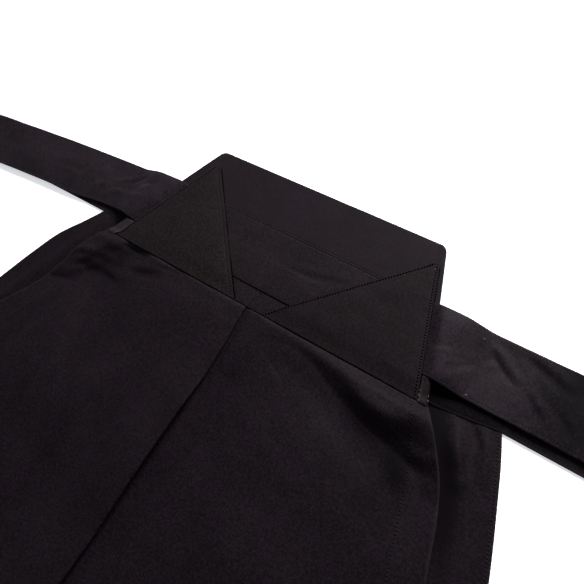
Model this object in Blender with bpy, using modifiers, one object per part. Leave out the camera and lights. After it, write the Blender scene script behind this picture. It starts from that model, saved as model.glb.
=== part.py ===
"""Hakama trousers laid flat with the back up, built the way the garment is cut and sewn.

X runs along the base of the stiff back board, Y points from the legs towards the back,
and Z is up. The origin lies on the floor under the middle of the board's base line.
The legs run towards -Y. The front panels lie lowest with their five pleats pressed flat.
The back panels lie on them, and the back board and the four waist straps lie on top.
"""
import math

import bpy
import numpy as np

# ---------------------------------------------------------------- driving dimensions, metres
CLOTH = 0.0010                 # wall of one layer of cloth
SEAM_GAP = 0.0003              # air between pieces that are sewn or lie together
PITCH = CLOTH + SEAM_GAP       # height from one pressed layer to the next
STRAP_WALL = 0.0013            # a strap is a flattened tube of two thinner layers

BOARD_BASE = 0.280             # length of the back board's base
BOARD_TOP = 0.1975             # length of its top edge
BOARD_HEIGHT = 0.1047
BOARD_WALL = 0.0035            # card core in its first wrap of cloth
BOARD_CORNER = 0.004           # corner radius at the board's top

HEM_Y = -0.970                 # level of the hem
HEM_HALF = 0.370               # half the width over both legs at the hem
SLIT_END_Y = -0.430            # the side slits end here, and the side seams begin
SLIT_END_X = 0.295

FRONT_BAND_WIDTH = 0.035       # waistband and front straps
BACK_STRAP_WIDTH = 0.0475
FRONT_STRAP_LENGTH = 1.50      # each side, beyond the waistband
BACK_STRAP_LENGTH = 0.80       # each side, from its end under the flap

FRONT_TOP = CLOTH + 2 * PITCH              # upper face of a pressed front pleat
BAND_TOP = FRONT_TOP
BOARD_BOTTOM = BAND_TOP + SEAM_GAP
BOARD_FACE = BOARD_BOTTOM + BOARD_WALL     # upper face of the wrapped core
COVER_BOTTOM = BOARD_FACE + SEAM_GAP
STRAP_ON_BOARD = BOARD_FACE + SEAM_GAP     # lower face of a back strap on the board
FLAP_BOTTOM = STRAP_ON_BOARD + STRAP_WALL + SEAM_GAP

CENTRE_SEAM_X = -0.020         # the two front panels meet here, under the middle
PLEAT_RAMP = 0.014             # cloth climbs over a pleat in this width
RAMP_END = 0.002               # and is level again this far before its fold
COVER_LEAD = 0.0025            # the back panel begins its own climb this much sooner

# Front pleats: where the fold edge lies at the waist and at the hem, measured outwards.
# The wearer's right leg has three pleats and the left has two.
FRONT_PLEATS = {
    "right": [{"waist": 0.030, "hem": 0.070}, {"waist": 0.066, "hem": 0.150}, {"waist": 0.102, "hem": 0.230}],
    "left": [{"waist": 0.060, "hem": 0.130}, {"waist": 0.100, "hem": 0.220}],
}
FRONT_PLEAT_DEPTH = {"waist": 0.019, "hem": 0.055}
BACK_PLEAT_DEPTH = {"waist": 0.024, "hem": 0.060}

# Side edges as (y, distance from the middle), from the waist down to the hem.
FRONT_EDGE = {
    "right": [(0.010, 0.185), (-0.006, 0.192), (-0.019, 0.197), (-0.080, 0.218),
              (SLIT_END_Y, SLIT_END_X), (HEM_Y, HEM_HALF)],
    "left": [(0.013, 0.165), (-0.002, 0.174), (-0.021, 0.186), (-0.043, 0.194), (-0.078, 0.204),
             (-0.200, 0.236), (SLIT_END_Y, SLIT_END_X), (HEM_Y, HEM_HALF)],
}
BACK_EDGE = {
    "right": [(0.000, 0.142), (-0.016, 0.155), (-0.037, 0.168), (-0.090, 0.187),
              (-0.200, 0.223), (SLIT_END_Y, SLIT_END_X), (HEM_Y, HEM_HALF)],
    "left": [(0.000, 0.141), (-0.012, 0.148), (-0.023, 0.152), (-0.045, 0.160), (-0.070, 0.171), (-0.093, 0.183),
             (-0.200, 0.221), (SLIT_END_Y, SLIT_END_X), (HEM_Y, HEM_HALF)],
}
# Lower edge of the front waistband as (x, y): it sags a little in the middle.
BAND_EDGE = [(-0.165, 0.0125), (-0.100, 0.0090), (0.000, 0.0050), (0.100, 0.0030), (0.143, 0.0040), (0.185, 0.0095)]

# Soft folds of the back panels: a ridge runs from start to end.
FOLDS = [
    {"start": (0.020, 0.002), "end": (0.142, -0.008), "half_width": 0.008, "height": 0.0034},
    {"start": (0.020, -0.012), "end": (0.150, -0.078), "half_width": 0.018, "height": 0.0022},
    {"start": (0.142, -0.006), "end": (0.176, -0.120), "half_width": 0.009, "height": 0.0016},
    {"start": (-0.095, 0.001), "end": (-0.012, 0.001), "half_width": 0.008, "height": 0.0026},
    {"start": (-0.141, -0.001), "end": (-0.104, -0.003), "half_width": 0.006, "height": 0.0032},
    {"start": (-0.090, -0.016), "end": (-0.150, -0.062), "half_width": 0.009, "height": 0.0022},
    {"start": (-0.080, -0.030), "end": (-0.150, -0.150), "half_width": 0.016, "height": 0.0020},
    {"start": (-0.010, -0.090), "end": (0.012, -0.700), "half_width": 0.026, "height": 0.0030},
    {"start": (-0.110, -0.210), "end": (-0.165, -0.860), "half_width": 0.022, "height": 0.0034},
    {"start": (-0.190, -0.260), "end": (-0.262, -0.900), "half_width": 0.019, "height": 0.0028},
    {"start": (0.085, -0.170), "end": (0.130, -0.780), "half_width": 0.022, "height": 0.0034},
    {"start": (0.170, -0.240), "end": (0.236, -0.900), "half_width": 0.019, "height": 0.0028},
]
# The same for the strips of the front panels that show beside the back panels.
MARGIN_FOLDS = [
    {"start": (0.163, 0.004), "end": (0.196, -0.110), "half_width": 0.006, "height": 0.0016},
    {"start": (0.178, 0.002), "end": (0.214, -0.130), "half_width": 0.005, "height": 0.0012},
    {"start": (-0.156, 0.006), "end": (-0.196, -0.110), "half_width": 0.006, "height": 0.0014},
]
LIFT_MARGIN = 1.2              # the back clears the front's soft folds by this much
FOLD_FLOOR = 0.0003            # rounds the foot of a fold where it meets level cloth

# Levels of the rows of the panels, closer together where the folds are.
BACK_ROWS = [-0.0004, -0.004, -0.008, -0.013, -0.019, -0.026, -0.034, -0.044, -0.056, -0.070, -0.086, -0.105,
             -0.127, -0.155, -0.190, -0.235, -0.290, -0.355, SLIT_END_Y, -0.500, -0.580, -0.670, -0.770, -0.870,
             HEM_Y]
FRONT_ROWS = [0.010, -0.012, -0.030, -0.055, -0.085, -0.120, -0.170, -0.240, -0.330, SLIT_END_Y, -0.600, -0.780, HEM_Y]

CLOTH_COLOUR = (0.0165, 0.0125, 0.0155, 1.0)
BOARD_COLOUR = (0.0185, 0.0150, 0.0165, 1.0)


# ---------------------------------------------------------------- small helpers
def smooth(value, low, high):
    """0 below low, 1 above high, and a soft S between them."""
    t = np.clip((np.asarray(value, float) - low) / (high - low), 0.0, 1.0)
    return t * t * (3.0 - 2.0 * t)


def through(points, where):
    """A smooth curve through a table of (place, value), read at `where`."""
    table = np.array(sorted(points), float)
    place, value = table[:, 0], table[:, 1]
    secant = np.diff(value) / np.diff(place)
    slope = np.concatenate([secant[:1], 0.5 * (secant[1:] + secant[:-1]), secant[-1:]])
    where = np.clip(where, place[0], place[-1])
    k = np.clip(np.searchsorted(place, where, side="right") - 1, 0, len(place) - 2)
    span = place[k + 1] - place[k]
    t = (where - place[k]) / span
    blend = t * t * (3.0 - 2.0 * t)
    bend = t * (1.0 - t) * span
    return (value[k] * (1.0 - blend) + value[k + 1] * blend
            + bend * ((1.0 - t) * slope[k] - t * slope[k + 1]))


def between(limits, y):
    """A size that grows evenly from the waist to the hem."""
    share = np.clip(np.asarray(y, float) / HEM_Y, 0.0, 1.0)
    return limits["waist"] * (1.0 - share) + limits["hem"] * share


def fold_height(x, y, folds):
    """Sum of soft ridges: a bell across each line, tapered at its two ends, never below zero."""
    total = np.zeros(np.broadcast(x, y).shape)
    for fold in folds:
        start, end = np.array(fold["start"]), np.array(fold["end"])
        run = end - start
        length = np.hypot(*run)
        along = ((x - start[0]) * run[0] + (y - start[1]) * run[1]) / length
        across = ((x - start[0]) * run[1] - (y - start[1]) * run[0]) / length
        overshoot = np.maximum(np.maximum(-along, along - length), 0.0)
        total = total + fold["height"] * np.exp(-(across**2 + overshoot**2) / fold["half_width"]**2)
    return 0.5 * (total + np.sqrt(total**2 + FOLD_FLOOR**2)) - 0.5 * FOLD_FLOOR


def half_turn(count):
    """Angles of a pressed fold, from its upper layer round to its lower one."""
    return np.linspace(0.5 * math.pi, -0.5 * math.pi, count)


# ---------------------------------------------------------------- objects
def clear_scene():
    for old in list(bpy.data.objects):
        bpy.data.objects.remove(old, do_unlink=True)


def cloth_material(name, colour, roughness):
    material = bpy.data.materials.new(name)
    material.use_nodes = True
    shader = material.node_tree.nodes["Principled BSDF"]
    shader.inputs["Base Color"].default_value = colour
    shader.inputs["Roughness"].default_value = roughness
    shader.inputs["Metallic"].default_value = 0.0
    return material


def add_object(name, vertices, faces, collection, material, wall):
    """An open surface with its cloth wall given by Solidify, half to each side."""
    mesh = bpy.data.meshes.new(name)
    mesh.from_pydata([tuple(v) for v in vertices], [], faces)
    mesh.materials.append(material)
    mesh.shade_smooth()
    mesh.set_sharp_from_angle(angle=math.radians(40))
    piece = bpy.data.objects.new(name, mesh)
    collection.objects.link(piece)
    shell = piece.modifiers.new("wall", "SOLIDIFY")
    shell.thickness = wall
    shell.offset = 0.0
    shell.use_even_offset = True
    return piece


def sheet(name, grid, collection, material, wall=CLOTH):
    """A sheet of cloth through a grid of points, rows by columns by (x, y, z)."""
    rows, columns = grid.shape[:2]
    number = np.arange(rows * columns).reshape(rows, columns)
    faces = np.stack([number[:-1, :-1], number[:-1, 1:], number[1:, 1:], number[1:, :-1]], axis=-1)
    return add_object(name, grid.reshape(-1, 3), faces.reshape(-1, 4).tolist(), collection, material, wall)


def plate(name, outline, bottom, wall, collection, material, edge=0.0):
    """A level plate with the given outline, its edges rounded by `edge`."""
    middle = bottom + 0.5 * wall
    vertices = [(x, y, middle) for x, y in outline]
    piece = add_object(name, vertices, [list(range(len(outline)))], collection, material, wall)
    if edge > 0.0:
        rounding = piece.modifiers.new("edges", "BEVEL")
        rounding.width = edge
        rounding.segments = 2
        rounding.limit_method = "ANGLE"
        rounding.angle_limit = math.radians(60)
    return piece


# ---------------------------------------------------------------- front panels
def band_edge(x):
    return through(BAND_EDGE, x)


def front_section(side, y):
    """One section of a front panel at level y: distance outwards and height of its middle.

    From the centre seam outwards the cloth lies on the floor, climbs over each pleat, turns
    down at the pleat's depth, comes back one layer lower and turns out on the floor again.
    """
    depth = between(FRONT_PLEAT_DEPTH, y)
    first = CENTRE_SEAM_X if side == "right" else -CENTRE_SEAM_X + SEAM_GAP
    out, level = [first], [0.0]
    for pleat in FRONT_PLEATS[side]:
        fold = between(pleat, y)
        climb = np.linspace(fold - PLEAT_RAMP, fold - RAMP_END, 5)
        out += list(climb)
        level += list(2.0 * smooth(climb, climb[0], climb[-1]))
        turn = half_turn(5)
        out += list(fold + depth + 0.5 * PITCH * np.cos(turn))
        level += list(1.5 + 0.5 * np.sin(turn))
        out += list(fold - 0.5 * PITCH * np.cos(turn))
        level += list(0.5 + 0.5 * np.sin(turn))
    edge = float(through(FRONT_EDGE[side], y))
    margin = np.linspace(out[-1], edge, 9)[1:]
    out += list(margin)
    level += [0.0] * len(margin)
    return np.array(out), 0.5 * CLOTH + PITCH * np.array(level)


def margin_lift(x, y):
    """Soft folds of the front's single layer, outwards from its last pleat."""
    last = np.where(x > 0.0, between(FRONT_PLEATS["right"][-1], y), between(FRONT_PLEATS["left"][-1], y))
    return smooth(np.abs(x), last + 0.030, last + 0.050) * fold_height(x, y, MARGIN_FOLDS)


def front_panel(side, collection, material):
    sign = 1.0 if side == "right" else -1.0
    rows = []
    for y in FRONT_ROWS:
        out, height = front_section(side, y)
        x = sign * out
        level = band_edge(x) - SEAM_GAP if y == FRONT_ROWS[0] else np.full(len(x), y)
        height = height + margin_lift(x, level)
        rows.append(np.stack([x, level, height], axis=-1))
    return sheet("front_panel_" + side, np.array(rows), collection, material)


def front_waistband(collection, material):
    """The folded band that the front pleats are sewn into, as thick as their stack."""
    x = np.linspace(BAND_EDGE[0][0], BAND_EDGE[-1][0], 13)
    share = np.array([0.0, 0.5, 1.0])[:, None]
    y = band_edge(x)[None, :] + share * FRONT_BAND_WIDTH
    grid = np.stack([np.broadcast_to(x, y.shape), y, np.full(y.shape, 0.5 * BAND_TOP)], axis=-1)
    return sheet("front_waistband", grid, collection, material, wall=BAND_TOP)


# ---------------------------------------------------------------- gusset
GUSSET_Y = -0.460
GUSSET_HALF_WIDTH = 0.030
GUSSET_HALF_LENGTH = 0.060


def gusset(collection, material):
    """The diamond that joins the two legs at the crotch, flat between front and back."""
    outline = [(GUSSET_HALF_WIDTH, GUSSET_Y), (0.0, GUSSET_Y + GUSSET_HALF_LENGTH),
               (-GUSSET_HALF_WIDTH, GUSSET_Y), (0.0, GUSSET_Y - GUSSET_HALF_LENGTH)]
    return plate("crotch_gusset", outline, PITCH, CLOTH, collection, material)


# ---------------------------------------------------------------- back panels
def pleat_cover(x, y):
    """1 where the pressed front pleats lie below, 0 where the front is one layer."""
    cover = np.zeros(np.broadcast(x, y).shape)
    for side, sign in (("right", 1.0), ("left", -1.0)):
        out = sign * x
        first = between(FRONT_PLEATS[side][0], y) - COVER_LEAD
        last = between(FRONT_PLEATS[side][-1], y) + between(FRONT_PLEAT_DEPTH, y) + RAMP_END
        rise = smooth(out, first - PLEAT_RAMP, first - RAMP_END)
        fall = 1.0 - smooth((out - last) / PLEAT_RAMP, 0.0, 1.0)
        cover = np.maximum(cover, rise * fall)
    return cover


def gusset_cover(x, y):
    """1 between the legs' inner pleats where the gusset lies below, fading towards waist and hem."""
    out = np.abs(x)
    first = np.where(x > 0.0, between(FRONT_PLEATS["right"][0], y), between(FRONT_PLEATS["left"][0], y))
    inside = 1.0 - smooth(out, first - RAMP_END, first + PLEAT_RAMP)
    away = np.abs(y - GUSSET_Y) - GUSSET_HALF_LENGTH
    return inside * (1.0 - smooth(away, 0.020, 0.150))


def back_floor(x, y):
    """Height of the lower face of the lowest back layer: just above all that lies below."""
    pressed = PITCH * np.maximum(2.0 * pleat_cover(x, y), gusset_cover(x, y))
    return PITCH + pressed + LIFT_MARGIN * margin_lift(x, y)


def back_columns(side, y, inner, edge, count):
    """Places outwards across a back panel, from `inner` to `edge`, close together on both
    slopes beside the pressed front pleats: `count` gives the steps in the five stretches."""
    first = between(FRONT_PLEATS[side][0], y) - COVER_LEAD
    last = between(FRONT_PLEATS[side][-1], y) + between(FRONT_PLEAT_DEPTH, y) + RAMP_END
    marks = [inner, first - PLEAT_RAMP, first - RAMP_END, last, last + PLEAT_RAMP, edge]
    runs = [np.linspace(a, b, steps + 1)[1:] for a, b, steps in zip(marks, marks[1:], count)]
    return np.concatenate([[inner]] + runs)


def centre_fold(y):
    """Where the left back panel's fold edge lies over the right one."""
    return 0.0074 * (1.0 - np.exp(np.asarray(y, float) / 0.045)) - 0.0014


def back_panel_left(collection, material):
    """Flat over the leg, up over the centre pleat, round its fold edge and back underneath."""
    rows = []
    for y in BACK_ROWS:
        fold = float(centre_fold(y))
        inner = fold - float(between(BACK_PLEAT_DEPTH, y))
        outer = float(through(BACK_EDGE["left"], y))
        flat = -back_columns("left", y, PLEAT_RAMP + RAMP_END - inner, outer, (1, 4, 7, 3, 2))[::-1]
        climb = np.linspace(inner - PLEAT_RAMP - RAMP_END, inner - RAMP_END, 5)[1:]
        top = np.linspace(inner - RAMP_END, fold, 4)[1:-1]
        turn = half_turn(5)
        under = np.linspace(fold, inner, 4)[1:]
        x = np.concatenate([flat, climb, top, fold + 0.5 * PITCH * np.cos(turn), under])
        level = np.concatenate([np.zeros(len(flat)), 2.0 * smooth(climb, flat[-1], climb[-1]), np.full(len(top), 2.0),
                                1.5 + 0.5 * np.sin(turn), np.ones(len(under))])
        lift = np.ones(len(x))
        lift[-len(under):] = np.linspace(1.0, 0.0, len(under) + 1)[1:]
        height = back_floor(x, y) + 0.5 * CLOTH + PITCH * level + lift * fold_height(x, y, FOLDS)
        rows.append(np.stack([x, np.full(len(x), y), height], axis=-1))
    return sheet("back_panel_left", np.array(rows), collection, material)


def back_panel_right(collection, material):
    """From the centre seam under the left panel's pleat out to the side edge."""
    rows = []
    for y in BACK_ROWS:
        fold = float(centre_fold(y))
        inner = fold - float(between(BACK_PLEAT_DEPTH, y))
        outer = float(through(BACK_EDGE["right"], y))
        hidden = np.linspace(inner, fold + 0.003, 5)[:-1]
        shown = back_columns("right", y, fold + 0.003, outer, (2, 4, 9, 3, 2))
        x = np.concatenate([hidden, shown])
        lift = smooth(x, fold + 0.003, fold + 0.020)
        height = back_floor(x, y) + 0.5 * CLOTH + lift * fold_height(x, y, FOLDS)
        rows.append(np.stack([x, np.full(len(x), y), height], axis=-1))
    return sheet("back_panel_right", np.array(rows), collection, material)


# ---------------------------------------------------------------- back board
def board_half_width(y):
    return 0.5 * BOARD_BASE + (0.5 * BOARD_TOP - 0.5 * BOARD_BASE) * y / BOARD_HEIGHT


def board_outline():
    """The trapezoid with its two top corners rounded."""
    side = math.atan2(BOARD_HEIGHT, 0.5 * (BOARD_BASE - BOARD_TOP))
    reach = BOARD_CORNER * math.tan(0.5 * side)
    centre = (0.5 * BOARD_TOP - reach, BOARD_HEIGHT - BOARD_CORNER)
    turn = np.linspace(0.5 * math.pi - side, 0.5 * math.pi, 4)
    right = [(centre[0] + BOARD_CORNER * math.cos(a), centre[1] + BOARD_CORNER * math.sin(a)) for a in turn]
    left = [(-x, y) for x, y in reversed(right)]
    return [(0.5 * BOARD_BASE, 0.0)] + right + left + [(-0.5 * BOARD_BASE, 0.0)]


PANEL_LOW = 0.0155             # the centre panel's hemmed lower edge
PANEL_HIGH = 0.0640            # the seam between the centre panel and the top cover
STRAP_CLEAR_Y = 0.0715         # the top cover stays above the straps outside the panel
UNDERLAP = 0.010               # cloth hidden below a flap's inner edge
# Where a flap's inner and outer edges meet the base line, and the blunt point where they end.
FLAPS = {
    "left": {"inner": 0.0105, "outer": 0.1315, "apex": (0.0945, 0.0925)},
    "right": {"inner": 0.0135, "outer": 0.1345, "apex": (0.1010, 0.0910)},
}
FLAP_POINT = 0.002             # width of that blunt point


def flap_inner(side, y):
    flap = FLAPS[side]
    return flap["inner"] + (flap["apex"][0] - 0.5 * FLAP_POINT - flap["inner"]) * y / flap["apex"][1]


def flap_outer(side, y):
    flap = FLAPS[side]
    return flap["outer"] + (flap["apex"][0] + 0.5 * FLAP_POINT - flap["outer"]) * y / flap["apex"][1]


def underlap(y):
    """How far out a cloth reaches that ends hidden below both flaps."""
    return flap_inner("right", y) + UNDERLAP


def mirrored(points):
    """A right-hand chain of points and its mirror image, as one outline."""
    return points + [(-x, y) for x, y in reversed(points)]


def board_pieces(collection, cloth, board):
    plate("back_board", board_outline(), BOARD_BOTTOM, BOARD_WALL, collection, board, edge=0.0008)
    panel = [(underlap(PANEL_LOW), PANEL_LOW), (underlap(PANEL_HIGH), PANEL_HIGH)]
    plate("board_centre_panel", mirrored(panel), COVER_BOTTOM, CLOTH, collection, cloth)
    rounded = [point for point in board_outline() if point[0] > 0.0 and point[1] > STRAP_CLEAR_Y]
    cover = [(underlap(PANEL_HIGH), PANEL_HIGH + 2.0 * SEAM_GAP), (0.0945, STRAP_CLEAR_Y),
             (board_half_width(STRAP_CLEAR_Y), STRAP_CLEAR_Y)] + rounded
    plate("board_top_cover", mirrored(cover), COVER_BOTTOM, CLOTH, collection, board)
    for side, sign in (("left", -1.0), ("right", 1.0)):
        flap(side, sign, collection, board)


def flap(side, sign, collection, material):
    """The triangular end of the board's cloth, folded over the strap's end and stitched down."""
    y = np.array([0.0, 0.003, 0.007, 0.011, 0.015, 0.035, 0.060, 0.080, FLAPS[side]["apex"][1]])[:, None]
    share = np.linspace(0.0, 1.0, 6)[None, :]
    x = flap_inner(side, y) + (flap_outer(side, y) - flap_inner(side, y)) * share
    drop = (FLAP_BOTTOM - COVER_BOTTOM - 0.0004) * (1.0 - smooth(y, 0.001, 0.014)) + 0.0 * x
    height = FLAP_BOTTOM - drop + 0.5 * CLOTH
    grid = np.stack([sign * x, y + 0.0 * x, height], axis=-1)
    return sheet("board_flap_" + side, grid, collection, material)


# ---------------------------------------------------------------- straps
FOLD_RADIUS = 0.5 * (STRAP_WALL + SEAM_GAP)


def unit(vector):
    vector = np.asarray(vector, float)
    return vector / np.hypot(*vector)


def turned(x, y, z, point, normal, upwards):
    """Fold a flat strip over a crease: cloth beyond it rolls round and lies back on itself.

    q is how far a point lies beyond the crease. It rolls round a half circle of the fold
    radius, and past that it comes back, so lengths in the cloth don't change.
    """
    q = (x - point[0]) * normal[0] + (y - point[1]) * normal[1]
    roll = np.clip(q, 0.0, math.pi * FOLD_RADIUS)
    angle = roll / FOLD_RADIUS
    past = np.maximum(q - math.pi * FOLD_RADIUS, 0.0)
    reach = (FOLD_RADIUS - upwards * z) * np.sin(angle) - past
    beyond = q > 0.0
    new_q = np.where(beyond, reach, q)
    rise = upwards * (FOLD_RADIUS - (FOLD_RADIUS - upwards * z) * np.cos(angle))
    return (x + (new_q - q) * normal[0], y + (new_q - q) * normal[1], np.where(beyond, rise, z))


def strap_rows(length, width, creases, spacing):
    """Rows along a strap as (place, slant): level rows, and rows along each crease."""
    rows = []
    marks = [0.0]
    for crease in creases:
        slant = crease["slant"]
        lead = 0.62 * width * abs(slant) + 0.004
        roll = np.linspace(0.0, math.pi * FOLD_RADIUS, 5) * math.hypot(1.0, slant)
        marks.append(crease["at"] - lead)
        rows += [(crease["at"] + step, slant) for step in roll]
        marks.append(crease["at"] + roll[-1] + lead)
    marks.append(length)
    for start, end in zip(marks[0::2], marks[1::2]):
        count = max(2, int(round((end - start) / spacing)) + 1)
        rows += [(place, 0.0) for place in np.linspace(start, end, count)]
    return sorted(rows)


def strap(name, start, heading, bow, length, width, corner, back_at, height, collection, material):
    """A waist strap: out from the waist, over one corner fold and down beside the leg.

    `corner` is how far along its middle it turns to run towards -Y, `bow` how far it bends
    sideways before that, and `back_at`, where given, how far along it is folded back on itself.
    """
    out = unit(heading)
    side = np.array([-out[1], out[0]])
    normal = unit(out - np.array([0.0, -1.0]))
    creases = [{"at": corner, "slant": -float(normal @ side) / float(normal @ out)}]
    if back_at:
        creases.append({"at": back_at, "slant": 0.0})
    across = np.linspace(-0.5 * width, 0.5 * width, 4)[None, :]
    rows = np.array(strap_rows(length, width, creases, spacing=0.030))
    along = rows[:, :1] + rows[:, 1:] * across
    share = np.clip(along / (corner - 0.6 * width), 0.0, 1.0)
    off = across + bow * 4.0 * share * (1.0 - share)
    x = start[0] + along * out[0] + off * side[0]
    y = start[1] + along * out[1] + off * side[1]
    z = np.zeros(x.shape)
    if back_at:
        x, y, z = turned(x, y, z, start + back_at * out, out, -1.0)
    x, y, z = turned(x, y, z, start + corner * out, normal, 1.0)
    z = z + height(x, y)
    return sheet(name, np.stack([x, y, z], axis=-1), collection, material, wall=STRAP_WALL)


def settle(level, y, edge):
    """Height of a strap's middle: `level` at the waist, down on the floor beside the legs."""
    floor_level = 0.5 * STRAP_WALL - 2.0 * FOLD_RADIUS
    return level + (floor_level - level) * smooth(edge - y, 0.008, 0.090)


def back_strap_height(x, y):
    """Over the board's side, down onto the front strap and up over that strap's corner fold."""
    out = np.abs(x)
    on_front = STRAP_WALL + 2.0 * SEAM_GAP
    over_corner = 2.0 * STRAP_WALL + 3.0 * SEAM_GAP
    bottom = (STRAP_ON_BOARD + (on_front - STRAP_ON_BOARD) * smooth(out, 0.136, 0.235)
              + (over_corner - on_front) * smooth(out, 0.300, 0.352))
    return settle(bottom + 0.5 * STRAP_WALL, y, -0.014)


def front_strap_height(x, y):
    return settle(0.5 * STRAP_WALL + 0.0 * x, y, 0.000)


def straps(collection, material):
    back = {"length": BACK_STRAP_LENGTH, "width": BACK_STRAP_WIDTH, "back_at": None, "height": back_strap_height}
    front = {"length": FRONT_STRAP_LENGTH, "width": FRONT_BAND_WIDTH, "height": front_strap_height}
    half_band = 0.5 * FRONT_BAND_WIDTH
    band_left, band_right = BAND_EDGE[0], BAND_EDGE[-1]
    runs = [
        ("back_strap_left", (-0.100, 0.0430), (-1.0, -0.095), {"bow": -0.005, "corner": 0.3615, **back}),
        ("back_strap_right", (0.100, 0.0400), (1.0, 0.003), {"bow": 0.0, "corner": 0.360, **back}),
        ("front_strap_left", (band_left[0] - 4.0 * SEAM_GAP, band_left[1] + half_band), (-1.0, -0.044),
         {"bow": 0.0, "corner": 0.232, "back_at": 1.140, **front}),
        ("front_strap_right", (band_right[0] + SEAM_GAP, band_right[1] + half_band), (1.0, 0.0),
         {"bow": 0.0, "corner": 0.212, "back_at": 1.120, **front}),
    ]
    for name, start, heading, options in runs:
        strap(name, np.array(start), heading, collection=collection, material=material, **options)


# ---------------------------------------------------------------- the garment
def main():
    clear_scene()
    collection = bpy.data.collections.new("hakama_trousers")
    bpy.context.scene.collection.children.link(collection)
    cloth = cloth_material("black_twill", CLOTH_COLOUR, 0.80)
    board = cloth_material("black_twill_pressed", BOARD_COLOUR, 0.75)
    front_waistband(collection, cloth)
    for side in ("left", "right"):
        front_panel(side, collection, cloth)
    gusset(collection, cloth)
    back_panel_left(collection, cloth)
    back_panel_right(collection, cloth)
    board_pieces(collection, cloth, board)
    straps(collection, cloth)


main()
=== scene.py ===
# %% [markdown]
# # Black hakama trousers, lying flat with the back up
#
# A hakama is a pair of very wide pleated trousers. A stiff board sits in the small of the back,
# long straps leave both sides of the waist, and the legs fall in deep pleats. The solids of the
# model already say where every cut piece lies. This lesson gives each of them its cloth: thin
# shells with turned edges, creases placed one by one, stitches, and a twill that is nearly black.

# %% Load the frame
import math

import bpy
import numpy as np
from mathutils import Matrix, Vector


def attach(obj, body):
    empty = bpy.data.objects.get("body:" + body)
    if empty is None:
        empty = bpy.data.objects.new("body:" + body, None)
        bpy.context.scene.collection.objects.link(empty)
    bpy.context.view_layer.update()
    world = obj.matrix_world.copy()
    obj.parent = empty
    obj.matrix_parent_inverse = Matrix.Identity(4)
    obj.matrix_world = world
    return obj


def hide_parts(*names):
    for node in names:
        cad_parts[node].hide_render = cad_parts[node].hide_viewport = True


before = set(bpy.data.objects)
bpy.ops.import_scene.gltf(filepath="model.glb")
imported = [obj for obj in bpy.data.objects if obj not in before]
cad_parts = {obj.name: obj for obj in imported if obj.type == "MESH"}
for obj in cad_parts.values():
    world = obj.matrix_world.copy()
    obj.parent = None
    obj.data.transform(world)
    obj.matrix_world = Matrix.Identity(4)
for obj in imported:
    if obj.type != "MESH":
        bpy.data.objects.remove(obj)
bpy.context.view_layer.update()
print("nodes:", ", ".join(sorted(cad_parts)))

# %% [markdown]
# ## Camera, floor and light
#
# The garment is seen close up from above its right hip, so the camera stands less than half a
# metre away and looks steeply down. Black cloth shows its form by light that grazes it: one
# broad soft lamp stands beyond the waist, and a bright sky fills the shadows a little. The floor
# is a pale disc, large enough for every other view.

# %% The camera
AZIMUTH = math.radians(55.328)
ELEVATION = math.radians(60.524)
ROLL = math.radians(-24.0385)
AIM = Vector((0.0205, 0.0268, 0.0030))
CAMERA_DISTANCE = 0.4260
SENSOR_WIDTH = 36.0
FOCAL_LENGTH = 36.986

away = Vector((math.sin(AZIMUTH) * math.cos(ELEVATION), -math.cos(AZIMUTH) * math.cos(ELEVATION),
               math.sin(ELEVATION)))
level_right = (-away).cross(Vector((0.0, 0.0, 1.0))).normalized()
level_up = level_right.cross(-away)
right = math.cos(ROLL) * level_right + math.sin(ROLL) * level_up
up = -math.sin(ROLL) * level_right + math.cos(ROLL) * level_up

lens = bpy.data.cameras.new("camera")
lens.sensor_width = SENSOR_WIDTH
lens.lens = FOCAL_LENGTH
lens.clip_start = 0.01
camera = bpy.data.objects.new("camera", lens)
facing = Matrix((right, up, away)).transposed().to_4x4()
camera.matrix_world = Matrix.Translation(AIM + away * CAMERA_DISTANCE) @ facing
bpy.context.scene.collection.objects.link(camera)
bpy.context.scene.camera = camera
bpy.context.scene.view_settings.view_transform = "Standard"
print("camera at", tuple(round(c, 3) for c in camera.location))


# %% The lamps
def soft_lamp(name, azimuth, elevation, distance, size, power, colour):
    """A square area lamp on a sphere round the waist, turned to face it."""
    light = bpy.data.lights.new(name, "AREA")
    light.size = size
    light.energy = power
    light.color = colour
    lamp = bpy.data.objects.new(name, light)
    a = math.radians(azimuth)
    e = math.radians(elevation)
    place = Vector((math.sin(a) * math.cos(e), math.cos(a) * math.cos(e), math.sin(e))) * distance
    lamp.location = place
    lamp.rotation_mode = "QUATERNION"
    lamp.rotation_quaternion = place.to_track_quat("Z", "Y")
    bpy.context.scene.collection.objects.link(lamp)
    return lamp


soft_lamp("lamp_beyond_waist", azimuth=8.0, elevation=38.0, distance=0.86, size=0.36, power=15.6,
          colour=(1.0, 0.985, 0.98))
soft_lamp("lamp_low_fill", azimuth=-110.0, elevation=35.0, distance=2.2, size=1.4, power=3.0,
          colour=(0.95, 0.98, 1.0))

world = bpy.data.worlds.new("studio")
world.use_nodes = True
world.node_tree.nodes["Background"].inputs["Color"].default_value = (0.93, 0.95, 1.0, 1.0)
world.node_tree.nodes["Background"].inputs["Strength"].default_value = 0.24
bpy.context.scene.world = world

# %% [markdown]
# ## Shader maths as formulas
#
# A cloth is a sum of small waves: the yarns, the diagonal ribs of the twill, the clouds of dye.
# Written with nodes that is a long chain, so a small class lets Python's own signs add the Math
# nodes. Every other node comes from one method, which sets its settings first and its sockets
# after them.

# %% Sockets that can be added and multiplied
def sign(operation, swapped=False):
    """A method for one of Python's signs: it adds the Math node of that operation."""
    def method(self, other):
        return self.maths(operation, other, self) if swapped else self.maths(operation, self, other)
    return method


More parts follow.
